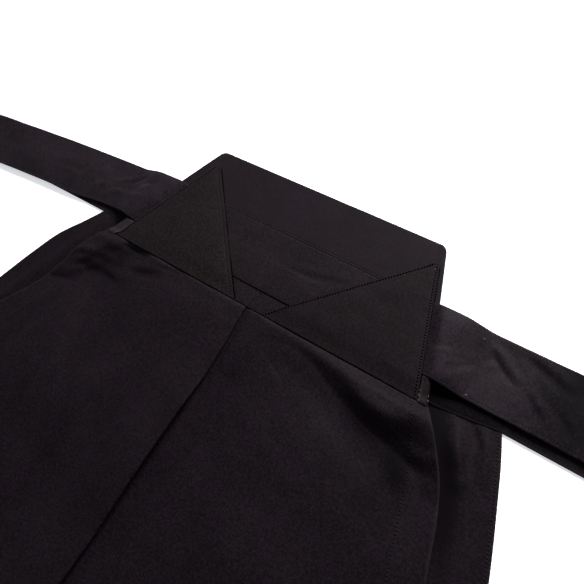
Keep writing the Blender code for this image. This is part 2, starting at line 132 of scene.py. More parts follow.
class Value:
    """A number that varies over a surface: an output socket, with Python's arithmetic signs."""

    __add__, __radd__ = sign("ADD"), sign("ADD", swapped=True)
    __sub__, __rsub__ = sign("SUBTRACT"), sign("SUBTRACT", swapped=True)
    __mul__, __rmul__ = sign("MULTIPLY"), sign("MULTIPLY", swapped=True)
    __truediv__ = sign("DIVIDE")

    def __init__(self, finish, socket):
        self.finish = finish
        self.socket = socket

    def maths(self, operation, first, second=0.0):
        return self.finish.node("ShaderNodeMath", {"operation": operation}, {0: first, 1: second})["Value"]

    def __neg__(self):
        return self.maths("MULTIPLY", self, -1.0)

    def sine(self):
        return self.maths("SINE", self)

    def exponential(self):
        return self.maths("EXPONENT", self)


class Finish:
    """A material and its nodes."""

    def __init__(self, name):
        self.material = bpy.data.materials.new(name)
        self.material.use_nodes = True
        self.tree = self.material.node_tree
        self.shader = self.tree.nodes["Principled BSDF"]

    def connect(self, socket, value):
        """A Value is linked, anything else is the socket's own constant."""
        if isinstance(value, Value):
            self.tree.links.new(value.socket, socket)
        else:
            socket.default_value = value

    def node(self, kind, settings=None, inputs=None):
        """Adds a node and returns its outputs by name, each as a Value."""
        node = self.tree.nodes.new(kind)
        for key, setting in (settings or {}).items():
            setattr(node, key, setting)
        sockets = {socket.identifier: socket for socket in node.inputs}
        for key, value in (inputs or {}).items():
            self.connect(node.inputs[key] if isinstance(key, int) else sockets[key], value)
        return {socket.identifier: Value(self, socket) for socket in node.outputs}

    def noise(self, where, size, detail=2.0, roughness=0.55):
        """Soft noise from 0 to 1 whose blotches are about `size` metres across."""
        made = self.node("ShaderNodeTexNoise", {"noise_dimensions": "2D"}, {
            "Vector": where, "Scale": 1.0 / size, "Detail": detail, "Roughness": roughness})
        return made["Fac"] if "Fac" in made else made["Factor"]

    def mix(self, factor, first, second):
        made = self.node("ShaderNodeMix", {"data_type": "RGBA", "clamp_factor": True}, {
            "Factor_Float": factor, "A_Color": first, "B_Color": second})
        return made["Result_Color"]

    def attribute(self, name):
        return self.node("ShaderNodeAttribute", {"attribute_name": name})["Fac"]

    def set(self, **sockets):
        """Feeds the shader's sockets, named with underscores for spaces."""
        for key, value in sockets.items():
            self.connect(self.shader.inputs[key.replace("_", " ")], value)


# %% [markdown]
# ## The floor
#
# A studio sweep is a pale matt sheet. It needs only a trace of tone of its own, because the
# light makes it almost white. It is no part of the garment.

# %% The floor
FLOOR_RADIUS = 9.0
FLOOR_LEVEL = -0.0003

paper = Finish("pale_floor")
paper_where = paper.node("ShaderNodeTexCoord")["Object"]
paper_tone = paper.noise(paper_where, 0.35, detail=3.0)
paper.set(Base_Color=paper.mix(paper_tone, (0.88, 0.885, 0.89, 1.0), (0.92, 0.92, 0.92, 1.0)),
          Emission_Color=paper.mix(paper_tone, (0.90, 0.93, 0.97, 1.0), (0.94, 0.96, 0.98, 1.0)),
          Emission_Strength=0.55, Roughness=0.85, Specular_IOR_Level=0.2)

floor_mesh = bpy.data.meshes.new("floor")
floor_angle = np.linspace(0.0, 2.0 * math.pi, 96, endpoint=False)
floor_rim = [(FLOOR_RADIUS * math.cos(a), FLOOR_RADIUS * math.sin(a), FLOOR_LEVEL) for a in floor_angle]
floor_mesh.from_pydata(floor_rim, [], [list(range(96))])
floor_mesh.materials.append(paper.material)
floor = bpy.data.objects.new("floor", floor_mesh)
bpy.context.scene.collection.objects.link(floor)

# %% [markdown]
# ## Sizes of the garment
#
# These are the maker's sizes behind the solids, in metres: one layer of cloth, the air between
# two pieces that lie on each other, the board, the straps, and where pleats and side edges run.
# Everything below is worked out from them, so the cloth lies where its solid lies. Tables are
# written in millimetres and thousandths, which keeps them short.

# %% The maker's sizes
def table(*numbers, columns=2):
    """Rows of a table written in millimetres, in metres."""
    return 0.001 * np.reshape(numbers, (-1, columns))


CLOTH = 0.0010
SEAM_GAP = 0.0003
PITCH = CLOTH + SEAM_GAP
STRAP_WALL = 0.0013
BOARD_BASE = 0.280
BOARD_TOP = 0.1975
BOARD_HEIGHT = 0.1047
BOARD_WALL = 0.0035
BOARD_CORNER = 0.003
HEM_Y = -0.970
FRONT_BAND_WIDTH = 0.035
BACK_STRAP_WIDTH = {"left": 0.0462, "right": 0.0480}
FRONT_STRAP_LENGTH = 1.50
BACK_STRAP_LENGTH = 0.80

BAND_TOP = CLOTH + 2.0 * PITCH
BOARD_BOTTOM = BAND_TOP + SEAM_GAP
BOARD_FACE = BOARD_BOTTOM + BOARD_WALL
COVER_BOTTOM = BOARD_FACE + SEAM_GAP
STRAP_ON_BOARD = BOARD_FACE + SEAM_GAP
FLAP_BOTTOM = STRAP_ON_BOARD + STRAP_WALL + SEAM_GAP

CENTRE_SEAM_X = -0.020
PLEAT_RAMP = 0.014
RAMP_END = 0.002
COVER_LEAD = 0.0025
# A pleat's place and depth are pairs, at the waist and at the hem. The edges are rows of y and x
# and end with the place where the side slit ends and with the hem's corner.
FRONT_PLEATS = {"right": table(30, 70, 66, 150, 102, 230), "left": table(60, 130, 100, 220)}
FRONT_PLEAT_DEPTH = (0.019, 0.055)
BACK_PLEAT_DEPTH = (0.024, 0.060)
SIDE_END = (-430, 295, -970, 370)
FRONT_EDGE = {
    "right": table(10, 185, -6, 192, -19, 197, -80, 218, *SIDE_END),
    "left": table(13, 165, -2, 174, -21, 186, -43, 194, -78, 204, -200, 236, *SIDE_END),
}
BACK_EDGE = {
    "right": table(0, 142, -16, 155, -37, 169.2, -90, 188, -200, 223, *SIDE_END),
    "left": table(0, 141, -12, 148, -23, 152, -45, 160, -70, 171, -93, 183, -200, 221, *SIDE_END),
}
BAND_EDGE = table(-165, 14.2, -100, 9.5, 0, 5, 100, 3, 143, 4, 185, 9.5)
SIDES = (("left", -1.0), ("right", 1.0))
print("board", BOARD_BASE, "by", BOARD_HEIGHT, "m, legs", -HEM_Y, "m long")


# %% Curves and grids
def smooth(value, low, high):
    """0 below low, 1 above high, and the S curve t*t*(3 - 2t) between them."""
    t = np.clip((np.asarray(value, float) - low) / (high - low), 0.0, 1.0)
    return t * t * (3.0 - 2.0 * t)


def through(points, where):
    """A cubic through a table of (place, value), its slope at each place that of its neighbours."""
    place, value = np.array(sorted(map(tuple, points)), float).T
    secant = np.diff(value) / np.diff(place)
    slope = np.concatenate([secant[:1], 0.5 * (secant[1:] + secant[:-1]), secant[-1:]])
    where = np.clip(where, place[0], place[-1])
    k = np.clip(np.searchsorted(place, where, side="right") - 1, 0, len(place) - 2)
    span = place[k + 1] - place[k]
    t = (where - place[k]) / span
    blend = smooth(t, 0.0, 1.0)
    bend = t * (1.0 - t) * span
    return value[k] * (1.0 - blend) + value[k + 1] * blend + bend * ((1.0 - t) * slope[k] - t * slope[k + 1])


def between(limits, y):
    """A size that grows evenly from the waist to the hem."""
    share_down = np.clip(np.asarray(y, float) / HEM_Y, 0.0, 1.0)
    return limits[0] * (1.0 - share_down) + limits[1] * share_down


def stacked(*parts):
    """Grids of x, y and z, or of u and v, as one grid of points."""
    return np.stack(np.broadcast_arrays(*parts), axis=-1)


def beside(*blocks):
    """Blocks of columns, one beside the other."""
    return np.concatenate(blocks, axis=1)


def mirrored(both, x):
    """The right side's value where x is positive, and the left side's elsewhere."""
    return np.where(x > 0.0, both["right"], both["left"])


def share(count):
    """Even shares from just above 0 up to 1."""
    return np.linspace(0.0, 1.0, count + 1)[1:]


# %% [markdown]
# ## Creases
#
# Cloth that has been folded and handled keeps soft ridges and troughs. Each one here is a line
# drawn on the garment, with its height at the start, in the middle and at the end, and
# how far it spreads to the left and to the right of the line. A narrow side makes a steep slope,
# which turns dark away from the lamp, and a wide side makes a gentle one. Adding them up gives a
# relief, and a sum of faint long waves keeps the cloth between them from being a perfect plane.

# %% Ridges and troughs along lines
def crease(path, heights, left, right=None, tilt=0.0):
    """A ridge, or with negative heights a trough, along a line x, y, x, y and so on."""
    right = left if right is None else right
    return {"path": path, "heights": heights, "tilt": tilt, "left": left, "right": right}


def step(path, tilt, spread):
    """A slope along a line: the cloth stands higher to the line's left and lower to its right."""
    return crease(path, (0, 0, 0), spread, tilt=tilt)


def fine_line(path, steps=12):
    """The path's points joined by cubics in their distance along it."""
    points = table(*path)
    place = np.concatenate([[0.0], np.cumsum(np.hypot(*np.diff(points, axis=0).T))])
    where = np.linspace(0.0, place[-1], steps + 1)
    return np.stack([through(zip(place, points[:, axis]), where) for axis in (0, 1)], axis=-1)


def relief(x, y, creases, unit=0.001):
    """Sum of (height(s) + tilt(s) * d / w) * exp(-(d / w)^2), with d the distance from a line,
    positive on its left, w its spread on that side, and s how far along it the nearest point
    lies. The tilt fades at both ends as 4s(1 - s)."""
    x, y = np.broadcast_arrays(x, y)
    total = np.zeros(x.shape)
    for one in creases:
        line = fine_line(one["path"])
        start, run = line[:-1], np.diff(line, axis=0)
        length = np.hypot(run[:, 0], run[:, 1])
        from_x = x[..., None] - start[:, 0]
        from_y = y[..., None] - start[:, 1]
        past = np.clip((from_x * run[:, 0] + from_y * run[:, 1]) / length**2, 0.0, 1.0)
        off_x = from_x - past * run[:, 0]
        off_y = from_y - past * run[:, 1]
        nearest = np.argmin(off_x**2 + off_y**2, axis=-1)[..., None]
        off_x, off_y, past = (np.take_along_axis(a, nearest, axis=-1)[..., 0] for a in (off_x, off_y, past))
        nearest = nearest[..., 0]
        side = run[nearest, 0] * off_y - run[nearest, 1] * off_x
        spread = 0.001 * np.where(side > 0.0, one["left"], one["right"])
        along = (np.cumsum(length)[nearest] + (past - 1.0) * length[nearest]) / length.sum()
        height = through(zip((0.0, 0.5, 1.0), one["heights"]), along)
        distance = np.hypot(off_x, off_y) / spread
        tilt = one["tilt"] * 4.0 * along * (1.0 - along) * np.sign(side)
        total = total + (height + tilt * distance) * np.exp(-distance**2)
    return total * unit


def waves(x, y, size, height, seed):
    """Nine sine waves of about `size` metres in all directions, `height` metres together."""
    chance = np.random.default_rng(seed)
    total = 0.0
    for turn, stretch, phase in chance.uniform((0.0, 0.7, 0.0), (math.pi, 1.7, 2.0 * math.pi), (9, 3)):
        along = x * math.cos(turn) + y * math.sin(turn)
        total = total + np.sin(2.0 * math.pi * along / (size * stretch) + phase)
    return height * total / 4.5


def above(value, soft):
    """The value where it is well above zero, fading softly to zero below it."""
    return 0.5 * (value + np.sqrt(value**2 + soft**2))

# %% [markdown]
# ## Black twill
#
# The cloth is a firm cotton and polyester twill, dyed black. Close up it is never one black:
# ribs run across it on the diagonal, single yarns catch more or less light, the dye is cloudy,
# and where an edge has been folded and rubbed it turns greyer. Light and shade are painted into
# the colour as well: edges, crease tops, puckers and tabs get painted highlights, and crease
# hollows, needle holes and the cloth beside flaps, straps and panel edges get painted shade. All
# of this follows the cloth's own length and width, which the UV map holds in metres. Three more
# measures are kept with each point of a piece: how far it is from the nearest line of sewing
# (`seam`), how far along that line (`along`), and how rubbed and how lit it is
# (`wear_and_painted_light`: above zero rubbing and painted highlight, below zero painted shade).

# %% The twill
RIB_PITCH = 0.00072
STITCH_PITCH = 0.0021
NO_SEAM = 0.05


def linear(ten_thousandths):
    """A colour as Blender takes it, from red, green and blue in ten-thousandths of full light."""
    return (*(0.0001 * part for part in ten_thousandths), 1.0)


# The grey that rubbed edges and painted highlights go towards, and the near black of painted shade.
WORN_AND_HIGHLIGHT_GREY = linear((270, 205, 258))
PAINTED_SHADE_BLACK = linear((6, 4, 6))


def twill(name, deep, pale, mottle=1.0, puckers=0.5, hole_shade=0.5, sheen=0.02, gloss=0.05):
    """Colour between `deep` and `pale` by ribs + yarns + grain + clouds, with a painted highlight on
    the puckers beside a seam; then towards the worn grey by rubbing and painted highlight, and towards
    black by painted shade in the needle holes and where the light measure is below zero; and a bump
    in metres made of the same parts. A row of holes is exp(-(seam / 0.6 mm)^2) times
    ((1 + sin(2 pi along / pitch)) / 2)^2."""
    finish = Finish(name)
    place = finish.node("ShaderNodeUVMap", {"uv_map": "cloth"})["UV"]
    axes = finish.node("ShaderNodeSeparateXYZ", None, {"Vector": place})
    seam, along, wear_and_painted_light = (finish.attribute(measure) for measure in ("seam", "along", "wear_and_painted_light"))
    yarn_place, weft_place = (
        finish.node("ShaderNodeMapping", None, {"Vector": place, "Scale": scale})["Vector"]
        for scale in ((1.0, 0.22, 1.0), (0.2, 1.0, 1.0)))

    wander = finish.noise(place, 0.006, detail=1.0)
    yarn = finish.noise(yarn_place, 0.00065, roughness=0.7) - 0.5
    weft = finish.noise(weft_place, 0.00080, roughness=0.7) - 0.5
    speckle = finish.noise(place, 0.00095, detail=3.0, roughness=0.75) - 0.5
    grain = finish.noise(place, 0.0021, roughness=0.8) - 0.5
    cloud = finish.noise(place, 0.0075, detail=3.0, roughness=0.6) - 0.5
    patch = finish.noise(place, 0.034, roughness=0.5) - 0.5
    handled = finish.noise(place, 0.120, detail=1.0) - 0.5
    dye = finish.noise(place, 0.0130, detail=4.0, roughness=0.7) - 0.5

    turn = (axes["X"] + axes["Y"]) * (2.0 * math.pi / RIB_PITCH) + wander * 5.0
    rib = turn.sine() * 0.5
    thread = yarn + weft
    sewn = (-(seam * seam) / 0.0000006).exponential()
    prick = (along * (2.0 * math.pi / STITCH_PITCH)).sine() * 0.5 + 0.5
    # Needle holes: pits in the bump, and painted shade in the colour.
    holes = (prick * prick * 0.85 + 0.15) * (-(seam * seam) / 0.00000036).exponential()
    # Puckers between the holes: a bump, and a painted highlight added to the tone.
    pucker = (1.0 - prick) * sewn * puckers
    # Below zero the light measure is painted shade.
    painted_shade = wear_and_painted_light.maths("MINIMUM", wear_and_painted_light, 0.0)

    tone = (rib * 0.16 + thread * 0.90 + speckle * 2.20 + grain * 1.90
            + (cloud * 0.55 + patch * 0.60 + handled * 0.45) * mottle
            + sewn * 0.10 + pucker + painted_shade * 0.6 + 0.42)
    brown, violet = (linear(np.multiply(pale, cast)) for cast in ((0.99, 1.03, 0.88), (1.03, 0.90, 1.14)))
    dyed = finish.mix(dye * 3.0 + speckle * 1.5 + 0.5, violet, brown)
    # Rubbing and painted highlights: towards the worn grey.
    colour = finish.mix(wear_and_painted_light * 0.6, finish.mix(tone, linear(deep), dyed), WORN_AND_HIGHLIGHT_GREY)
    # Painted shade: towards black in the needle holes and where the light measure is below zero.
    colour = finish.mix(holes * hole_shade - painted_shade * 0.4, colour, PAINTED_SHADE_BLACK)
    height = (rib * 0.000020 + thread * 0.000032 + speckle * 0.000050 + grain * 0.000060
              + cloud * 0.00012 - holes * 0.00016 + pucker * 0.00015)
    bump = finish.node("ShaderNodeBump", None, {"Strength": 1.0, "Distance": 1.0, "Height": height})["Normal"]
    finish.set(Base_Color=colour, Roughness=speckle * 0.16 - wear_and_painted_light * 0.05 + 0.66, Normal=bump,
               Specular_IOR_Level=gloss, Sheen_Weight=sheen, Sheen_Roughness=0.45,
               Sheen_Tint=(0.88, 0.78, 0.90, 1.0))
    return finish.material


panel_twill = twill("panel_twill", (30, 17, 28), (112, 78, 106))
board_twill = twill("board_twill", (33, 20, 28), (114, 81, 102), mottle=0.75)
cover_twill = twill("cover_twill", (32, 18, 30), (84, 52, 80), mottle=0.75)
# Both flaps are one cloth: the left copy is painted lighter and the right one darker, as painted light and
# shade.
flap_twill = {
    "left": twill("flap_twill_left_painted_lighter", (34, 24, 27), (126, 99, 105), mottle=0.75, puckers=0.9, hole_shade=0.9),
    "right": twill("flap_twill_right_painted_darker", (32, 21, 27), (92, 65, 86), mottle=0.75, puckers=1.2, hole_shade=0.9),
}
strap_twill = twill("strap_twill", (38, 25, 37), (158, 118, 152), mottle=1.4, puckers=0.2)
# A darker copy of the twill without sheen: painted shade for the waistband and the right front strap, which
# lie in the back strap's shadow near the waist.
shaded_band_twill = twill("shaded_band_twill", (10, 7, 10), (52, 40, 52), puckers=0.2, sheen=0.0, gloss=0.02)

# %% [markdown]
# ## Sewing thread
#
# The thread is a little finer and shinier than the cloth's own yarn, so each stitch is a small
# dark bead with a glint. Its plies twist round it, which a fine slanted stripe shows; the glint is
# painted, as the paler stripes of the colour, since the thread has no specular shine of its own.

# %% The thread
def spun_thread(name, deep, pale, roughness):
    """Colour from the twist stripes sin(k(u + v)) and a soft noise, on the stitch's own UV map."""
    finish = Finish(name)
    place = finish.node("ShaderNodeUVMap", {"uv_map": "cloth"})["UV"]
    axes = finish.node("ShaderNodeSeparateXYZ", None, {"Vector": place})
    twist = ((axes["X"] * 2.0 + axes["Y"] * 6.0) * math.pi).sine() * 0.5 + 0.5
    dusty = finish.noise(finish.node("ShaderNodeTexCoord")["Object"], 0.02, detail=2.0)
    bump = finish.node("ShaderNodeBump", None, {"Distance": 1.0, "Height": twist * 0.00004})["Normal"]
    # On the black thread the paler twist stripes are a painted glint; on lint they are its own pale fibres.
    finish.set(Base_Color=finish.mix(twist * 0.6 + dusty * 0.4, deep, pale), Normal=bump,
               Roughness=roughness + dusty * 0.15, Specular_IOR_Level=0.0)
    return finish.material


black_thread = spun_thread("black_thread", linear((4, 3, 4)), linear((16, 12, 16)), 0.75)
pale_lint = spun_thread("pale_lint", linear((1000, 900, 1000)), linear((2600, 2300, 2500)), 0.7)

# %% [markdown]
# ## From a grid of points to a piece of cloth
#
# Every piece below is the middle surface of its cloth, a grid of points worked out with numpy.
# The shell is made from it: each point is moved out by half the wall along the surface's normal,
# and in by the same for the underside. Towards the piece's edges the wall closes in a half
# circle, so an edge looks folded and not cut from card.

# %% A closed shell from a middle surface
RIM_STEPS = np.array([0.0, 0.04, 0.16, 0.5])


def rim(wall):
    """Distances from an edge where columns stand so that a wall of this thickness rounds well."""
    return RIM_STEPS * wall


def stations(length, spacing, wall, marks=()):
    """Places from 0 to length about `spacing` apart, gathered at both rims and round each mark."""
    inner = np.linspace(rim(wall)[-1], length - rim(wall)[-1], max(2, int(round(length / spacing))))
    near = (np.array(marks)[:, None] + [-0.0006, 0.0, 0.0006]).ravel() if len(marks) else np.array([])
    inner = inner[np.all(np.abs(inner[:, None] - near) > 0.35 * spacing, axis=1)]
    return np.unique(np.concatenate([rim(wall), inner, near, length - rim(wall)]).round(7))


def grid_normals(points):
    """Unit normals of a grid: the step along the rows crossed with the step along the columns."""
    normal = np.cross(np.gradient(points, axis=0), np.gradient(points, axis=1))
    return normal / np.maximum(np.linalg.norm(normal, axis=-1, keepdims=True), 1e-12)


def run_lengths(points, axis):
    """Distance walked along a grid's lines, from 0 at its first point."""
    steps = np.linalg.norm(np.diff(points, axis=axis), axis=-1)
    start = np.zeros_like(np.take(steps, [0], axis=axis))
    return np.concatenate([start, np.cumsum(steps, axis=axis)], axis=axis)


def edge_distance(points):
    """Distance from each point of a grid to the nearest of its four edges, along the surface."""
    across = run_lengths(points, 1)
    along = run_lengths(points, 0)
    return np.minimum.reduce([across, across[:, -1:] - across, along, along[-1:] - along])


def make_piece(name, vertices, faces, material, uv, facts):
    """Puts arrays into a smooth mesh object, with the UV map and the measures."""
    mesh = bpy.data.meshes.new(name)
    mesh.from_pydata(vertices.tolist(), [], faces)
    mesh.materials.append(material)
    mesh.shade_smooth()
    corner = np.empty(len(mesh.loops), np.int32)
    mesh.loops.foreach_get("vertex_index", corner)
    mesh.uv_layers.new(name="cloth").data.foreach_set("uv", uv[corner].astype(np.float32).ravel())
    for fact, values in facts.items():
        mesh.attributes.new(fact, "FLOAT", "POINT").data.foreach_set("value", values.astype(np.float32))
    piece = bpy.data.objects.new(name, mesh)
    bpy.context.scene.collection.objects.link(piece)
    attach(piece, "root")
    return piece


AS_BUILT = np.s_[:, :]
ROWS_TURNED = np.s_[::-1, :]
ORDERS = {"left": np.s_[:, ::-1], "right": AS_BUILT}
tops = {}


def cloth_shell(name, middle, wall, material, uv, seam=NO_SEAM, along=0.0, wear_and_painted_light=0.0, edge_wear_and_light=0.55, power=2.0,
                order=AS_BUILT):
    """Shell whose wall closes as (1 - i^n)^(1 / n), where i falls from 1 at the edge to 0 half a
    wall inside it and n is the power: 2 makes a half circle, more a squarer edge.

    The outermost points of both faces are shared, which closes the shell. `order` turns the grid
    round so that its first face looks up. Returns the piece, that face and its normals, which
    stitches are set on, and keeps the sky side of the piece in `tops`.
    """
    rows, columns = middle.shape[:2]
    wall, seam, along, wear_and_painted_light = (
        np.broadcast_to(values, (rows, columns))[order] for values in (wall, seam, along, wear_and_painted_light))
    middle, uv = middle[order], uv[order]
    edge = edge_distance(middle)
    inside = 1.0 - np.clip(edge / (0.5 * wall), 0.0, 1.0)
    half = 0.5 * wall * np.clip(1.0 - inside**power, 0.0, 1.0)**(1.0 / power)
    normal = grid_normals(middle)
    upper = middle + normal * half[..., None]
    lower = middle - normal * half[..., None]
    front = np.arange(rows * columns).reshape(rows, columns)
    back = front.copy()
    back[1:-1, 1:-1] = rows * columns + np.arange((rows - 2) * (columns - 2)).reshape(rows - 2, columns - 2)
    faces = np.concatenate([
        np.stack([front[:-1, :-1], front[1:, :-1], front[1:, 1:], front[:-1, 1:]], axis=-1).reshape(-1, 4),
        np.stack([back[:-1, :-1], back[:-1, 1:], back[1:, 1:], back[1:, :-1]], axis=-1).reshape(-1, 4)])

    def both(values, on_back=None):
        inner = (values if on_back is None else on_back)[1:-1, 1:-1]
        return np.concatenate([a.reshape(a.shape[0] * a.shape[1], -1) for a in (values, inner)])

    # Along every edge: rubbing and a painted highlight, or painted shade where edge_wear_and_light is below
    # zero; then the piece's own wear and painted light.
    facts = {"seam": seam, "along": along, "wear_and_painted_light": np.exp(-(edge / 0.0011)**2) * edge_wear_and_light + wear_and_painted_light}
    piece = make_piece(name, both(upper, lower), faces.tolist(), material, both(uv),
                       {fact: both(values)[:, 0] for fact, values in facts.items()})
    skyward = normal[..., 2:] > 0.0
    tops[name] = (np.where(skyward, upper, lower), np.where(skyward, normal, -normal))
    return piece, upper[order], normal[order]


def lay(node):
    """Hides the solid that the piece stands for."""
    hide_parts(node)


# %% [markdown]
# ## Stitches
#
# A lock stitch shows as a row of short threads, each sunk into the cloth at both ends. One small
# spindle of thread is repeated along the line. All the lines of a piece become one mesh.

# %% A row of stitches
# A kind of stitch: its place as a share of the pitch, its length, radius and height, in mm.
STITCHES = {"run": (0.75, 1.2, 0.20, 0.02), "faint": (0.25, 1.0, 0.28, -0.02),
            "dots": (0.25, 1.3, 0.74, 0.08), "whip": (0.25, 1.9, 0.80, 0.10),
            "line": (0.25, 2.4, 0.36, -0.02), "cord": (0.25, 2.4, 0.90, -0.34)}
sewn_lines = []


def sew(points, normals, along, kind="run"):
    """Marks a line for stitching: a "run" along it, "faint" or thick "dots", "whip" stitches
    across it, an unbroken "line" or a thicker "cord". Places are shares of a pitch, by the
    measure `along`, whose needle holes lie a quarter past each whole number of pitches."""
    if along[0] > along[-1]:
        points, normals, along = points[::-1], normals[::-1], along[::-1]
    place, *sizes = STITCHES[kind]
    length, radius, lift = (0.001 * size for size in sizes)
    first, last = math.ceil(along[0] / STITCH_PITCH), math.floor(along[-1] / STITCH_PITCH)
    where = (np.arange(first, last) + place) * STITCH_PITCH
    centre, ahead, behind, normal = (
        np.stack([np.interp(where + step * STITCH_PITCH, along, values[:, a]) for a in range(3)], axis=-1)
        for step, values in ((0.0, points), (0.3, points), (-0.3, points), (0.0, normals)))
    tangent = np.cross(normal, ahead - behind) if kind == "whip" else ahead - behind
    sewn_lines.append((centre + lift * normal, tangent, normal, length, radius))


def stitch_mesh(name, material):
    """All the lines marked so far, as spindles: five rings of five points whose radius is
    r * sqrt(1 - s^4) and which dip by s^2 towards the ends, s running from -1 to 1."""
    s = np.array([-1.0, -0.72, 0.0, 0.72, 1.0])
    turn = np.linspace(0.0, 2.0 * math.pi, 5, endpoint=False)
    vertices = []
    for centre, tangent, normal, length, radius in sewn_lines:
        tangent = tangent / np.linalg.norm(tangent, axis=-1, keepdims=True)
        normal = normal - tangent * np.sum(normal * tangent, axis=-1, keepdims=True)
        normal = normal / np.linalg.norm(normal, axis=-1, keepdims=True)
        side = np.cross(tangent, normal)
        thick = radius * np.sqrt(np.clip(1.0 - s**4, 0.0, 1.0) + 0.02)
        spine = (centre[:, None, :] + 0.5 * length * s[:, None] * tangent[:, None, :]
                 - radius * 0.7 * (s**2)[:, None] * normal[:, None, :])
        ring = (0.6 * np.cos(turn)[:, None] * normal[:, None, None, :]
                + np.sin(turn)[:, None] * side[:, None, None, :])
        vertices.append((spine[:, :, None, :] + thick[:, None, None] * ring).reshape(-1, 25, 3))
    vertices = np.concatenate(vertices)
    number = np.arange(25).reshape(5, 5)
    following = np.roll(number, -1, axis=1)
    quads = np.stack([number[:-1], number[1:], following[1:], following[:-1]], axis=-1).reshape(-1, 4)
    start = 25 * np.arange(len(vertices))[:, None, None]
    faces = (quads[None] + start).reshape(-1, 4).tolist()
    faces += (number[0][None, :] + start[:, 0]).tolist()
    faces += (number[-1][::-1][None, :] + start[:, 0]).tolist()
    uv = np.tile(stacked(turn / (2.0 * math.pi), s[:, None]).reshape(25, 2), (len(vertices), 1))
    piece = make_piece(name, vertices.reshape(-1, 3), faces, material, uv, {})
    print(f"{name}: {len(vertices)} stitches")
    sewn_lines.clear()

# %% [markdown]
# ## The front panels
#
# The garment lies on its front, so the front panels are lowest. Their pleats are pressed flat:
# seen from the end each one is a long letter Z. A section runs from the centre seam outwards,
# climbs over a pleat, turns down at its depth, comes back a layer lower and turns out again.
# All sections together make one folded sheet. Only a strip beside the back panels shows.

# %% Sections of the front
def half_turn(count):
    """Angles of a pressed fold, from its upper layer round to its lower one."""
    return np.linspace(0.5 * math.pi, -0.5 * math.pi, count)


def panel_rows(top, hem_width, wall, count=220, even=0.26):
    """Levels y = top - L * (e t + (1 - e) t^2.6) from the waist to the hem, with rims and the hem's seam."""
    t = np.linspace(0.0, 1.0, count)
    length = top - HEM_Y
    depth = length * (even * t + (1.0 - even) * t**2.6)
    seam = length - hem_width
    depth = depth[(depth > rim(wall)[-1]) & (depth < length - rim(wall)[-1]) & (np.abs(depth - seam) > 0.002)]
    depth = np.concatenate([rim(wall), depth, [seam - 0.0007, seam, seam + 0.0007], length - rim(wall)])
    return (top - np.sort(depth))[:, None]


BAND_TUCK = 0.0008
EDGE_HEM = 0.0050
EDGE_SEAM = 0.0027
FRONT_HEM = 0.022
# Painted shadow on the front just outside the back panel's edge, strongest on the right.
BACK_EDGE_PAINTED_SHADOW = {"left": 0.35, "right": 1.6}
HEM_WALL = 0.0013
EDGE_STEPS = np.array([*rim(CLOTH), 0.0010, 0.0015, 0.0021, EDGE_SEAM, 0.0033, 0.0040, EDGE_HEM, 0.0058])

MARGIN_FOLDS = [
    crease([161, -0.5, 164.1, -5.7, 170.6, -17, 177.4, -27.7], (1.2, 4, 2), 4, 6.4),
    crease([169, 6.6, 172.7, 2.2, 175.7, -2.2, 179, -7.5], (-0.4, -1.1, -0.2), 1.8, 3),
    crease([175.5, 5, 181, -2, 188, -20], (0.4, 1.4, 1), 3.4),
    crease([178, -30, 214, -130], (1, 1.2, 1.2), 6),
    crease([-156, 6, -196, -110], (1.4, 1.4, 1.4), 6),
]


def pleat_place(number, x, y):
    """Where the first (0) or last (-1) pleat of the front lies, on the side of x."""
    return mirrored({side: between(FRONT_PLEATS[side][number], y) for side, _ in SIDES}, x)


def margin_lift(x, y):
    """Soft folds of the front's single layer, outwards from its last pleat."""
    last = pleat_place(-1, x, y)
    return smooth(np.abs(x), last + 0.030, last + 0.050) * relief(x, y, MARGIN_FOLDS)


def joined(blocks, y):
    """Blocks of (distances outwards, levels), side by side, with a row for each y."""
    wide = [np.broadcast_arrays(out + 0.0 * y, level) for out, level in blocks]
    return beside(*(out for out, _ in wide)), beside(*(level for _, level in wide))


def front_sections(side, y, edge):
    """Distance outwards and level (in layers) of the middle of the cloth, a row for each y."""
    depth = between(FRONT_PLEAT_DEPTH, y)
    first = CENTRE_SEAM_X if side == "right" else -CENTRE_SEAM_X + SEAM_GAP
    turn = half_turn(7)
    blocks = [(first + 0.0 * y + rim(CLOTH), 0.0)]
    for pleat in FRONT_PLEATS[side]:
        fold = between(pleat, y)
        foot = fold - PLEAT_RAMP
        start = blocks[-1][0][:, -1:]
        blocks += [(start + (foot - start) * share(6), 0.0),
                   (foot + (PLEAT_RAMP - RAMP_END) * share(8), 2.0 * smooth(share(8), 0.0, 1.0)),
                   (fold - RAMP_END + (depth + RAMP_END) * share(8)[:-1], 2.0),
                   (fold + depth + 0.5 * PITCH * np.cos(turn), 1.5 + 0.5 * np.sin(turn)),
                   (fold + depth * (1.0 - share(6)[:-1]), 1.0),
                   (fold - 0.5 * PITCH * np.cos(turn), 0.5 + 0.5 * np.sin(turn))]
    start = blocks[-1][0][:, -1:]
    blocks += [(start + (edge - EDGE_STEPS[-1] - start) * share(58), 0.0), (edge - EDGE_STEPS[-2::-1], 0.0)]
    return joined(blocks, y)


def nearer_seam(side_seam, hem_seam, x, y):
    """The distance to the nearer of the side's and the hem's sewing, and the place along it."""
    nearer = np.abs(side_seam) < np.abs(hem_seam)
    return np.clip(np.where(nearer, side_seam, hem_seam), -NO_SEAM, NO_SEAM), np.where(nearer, -y, x)


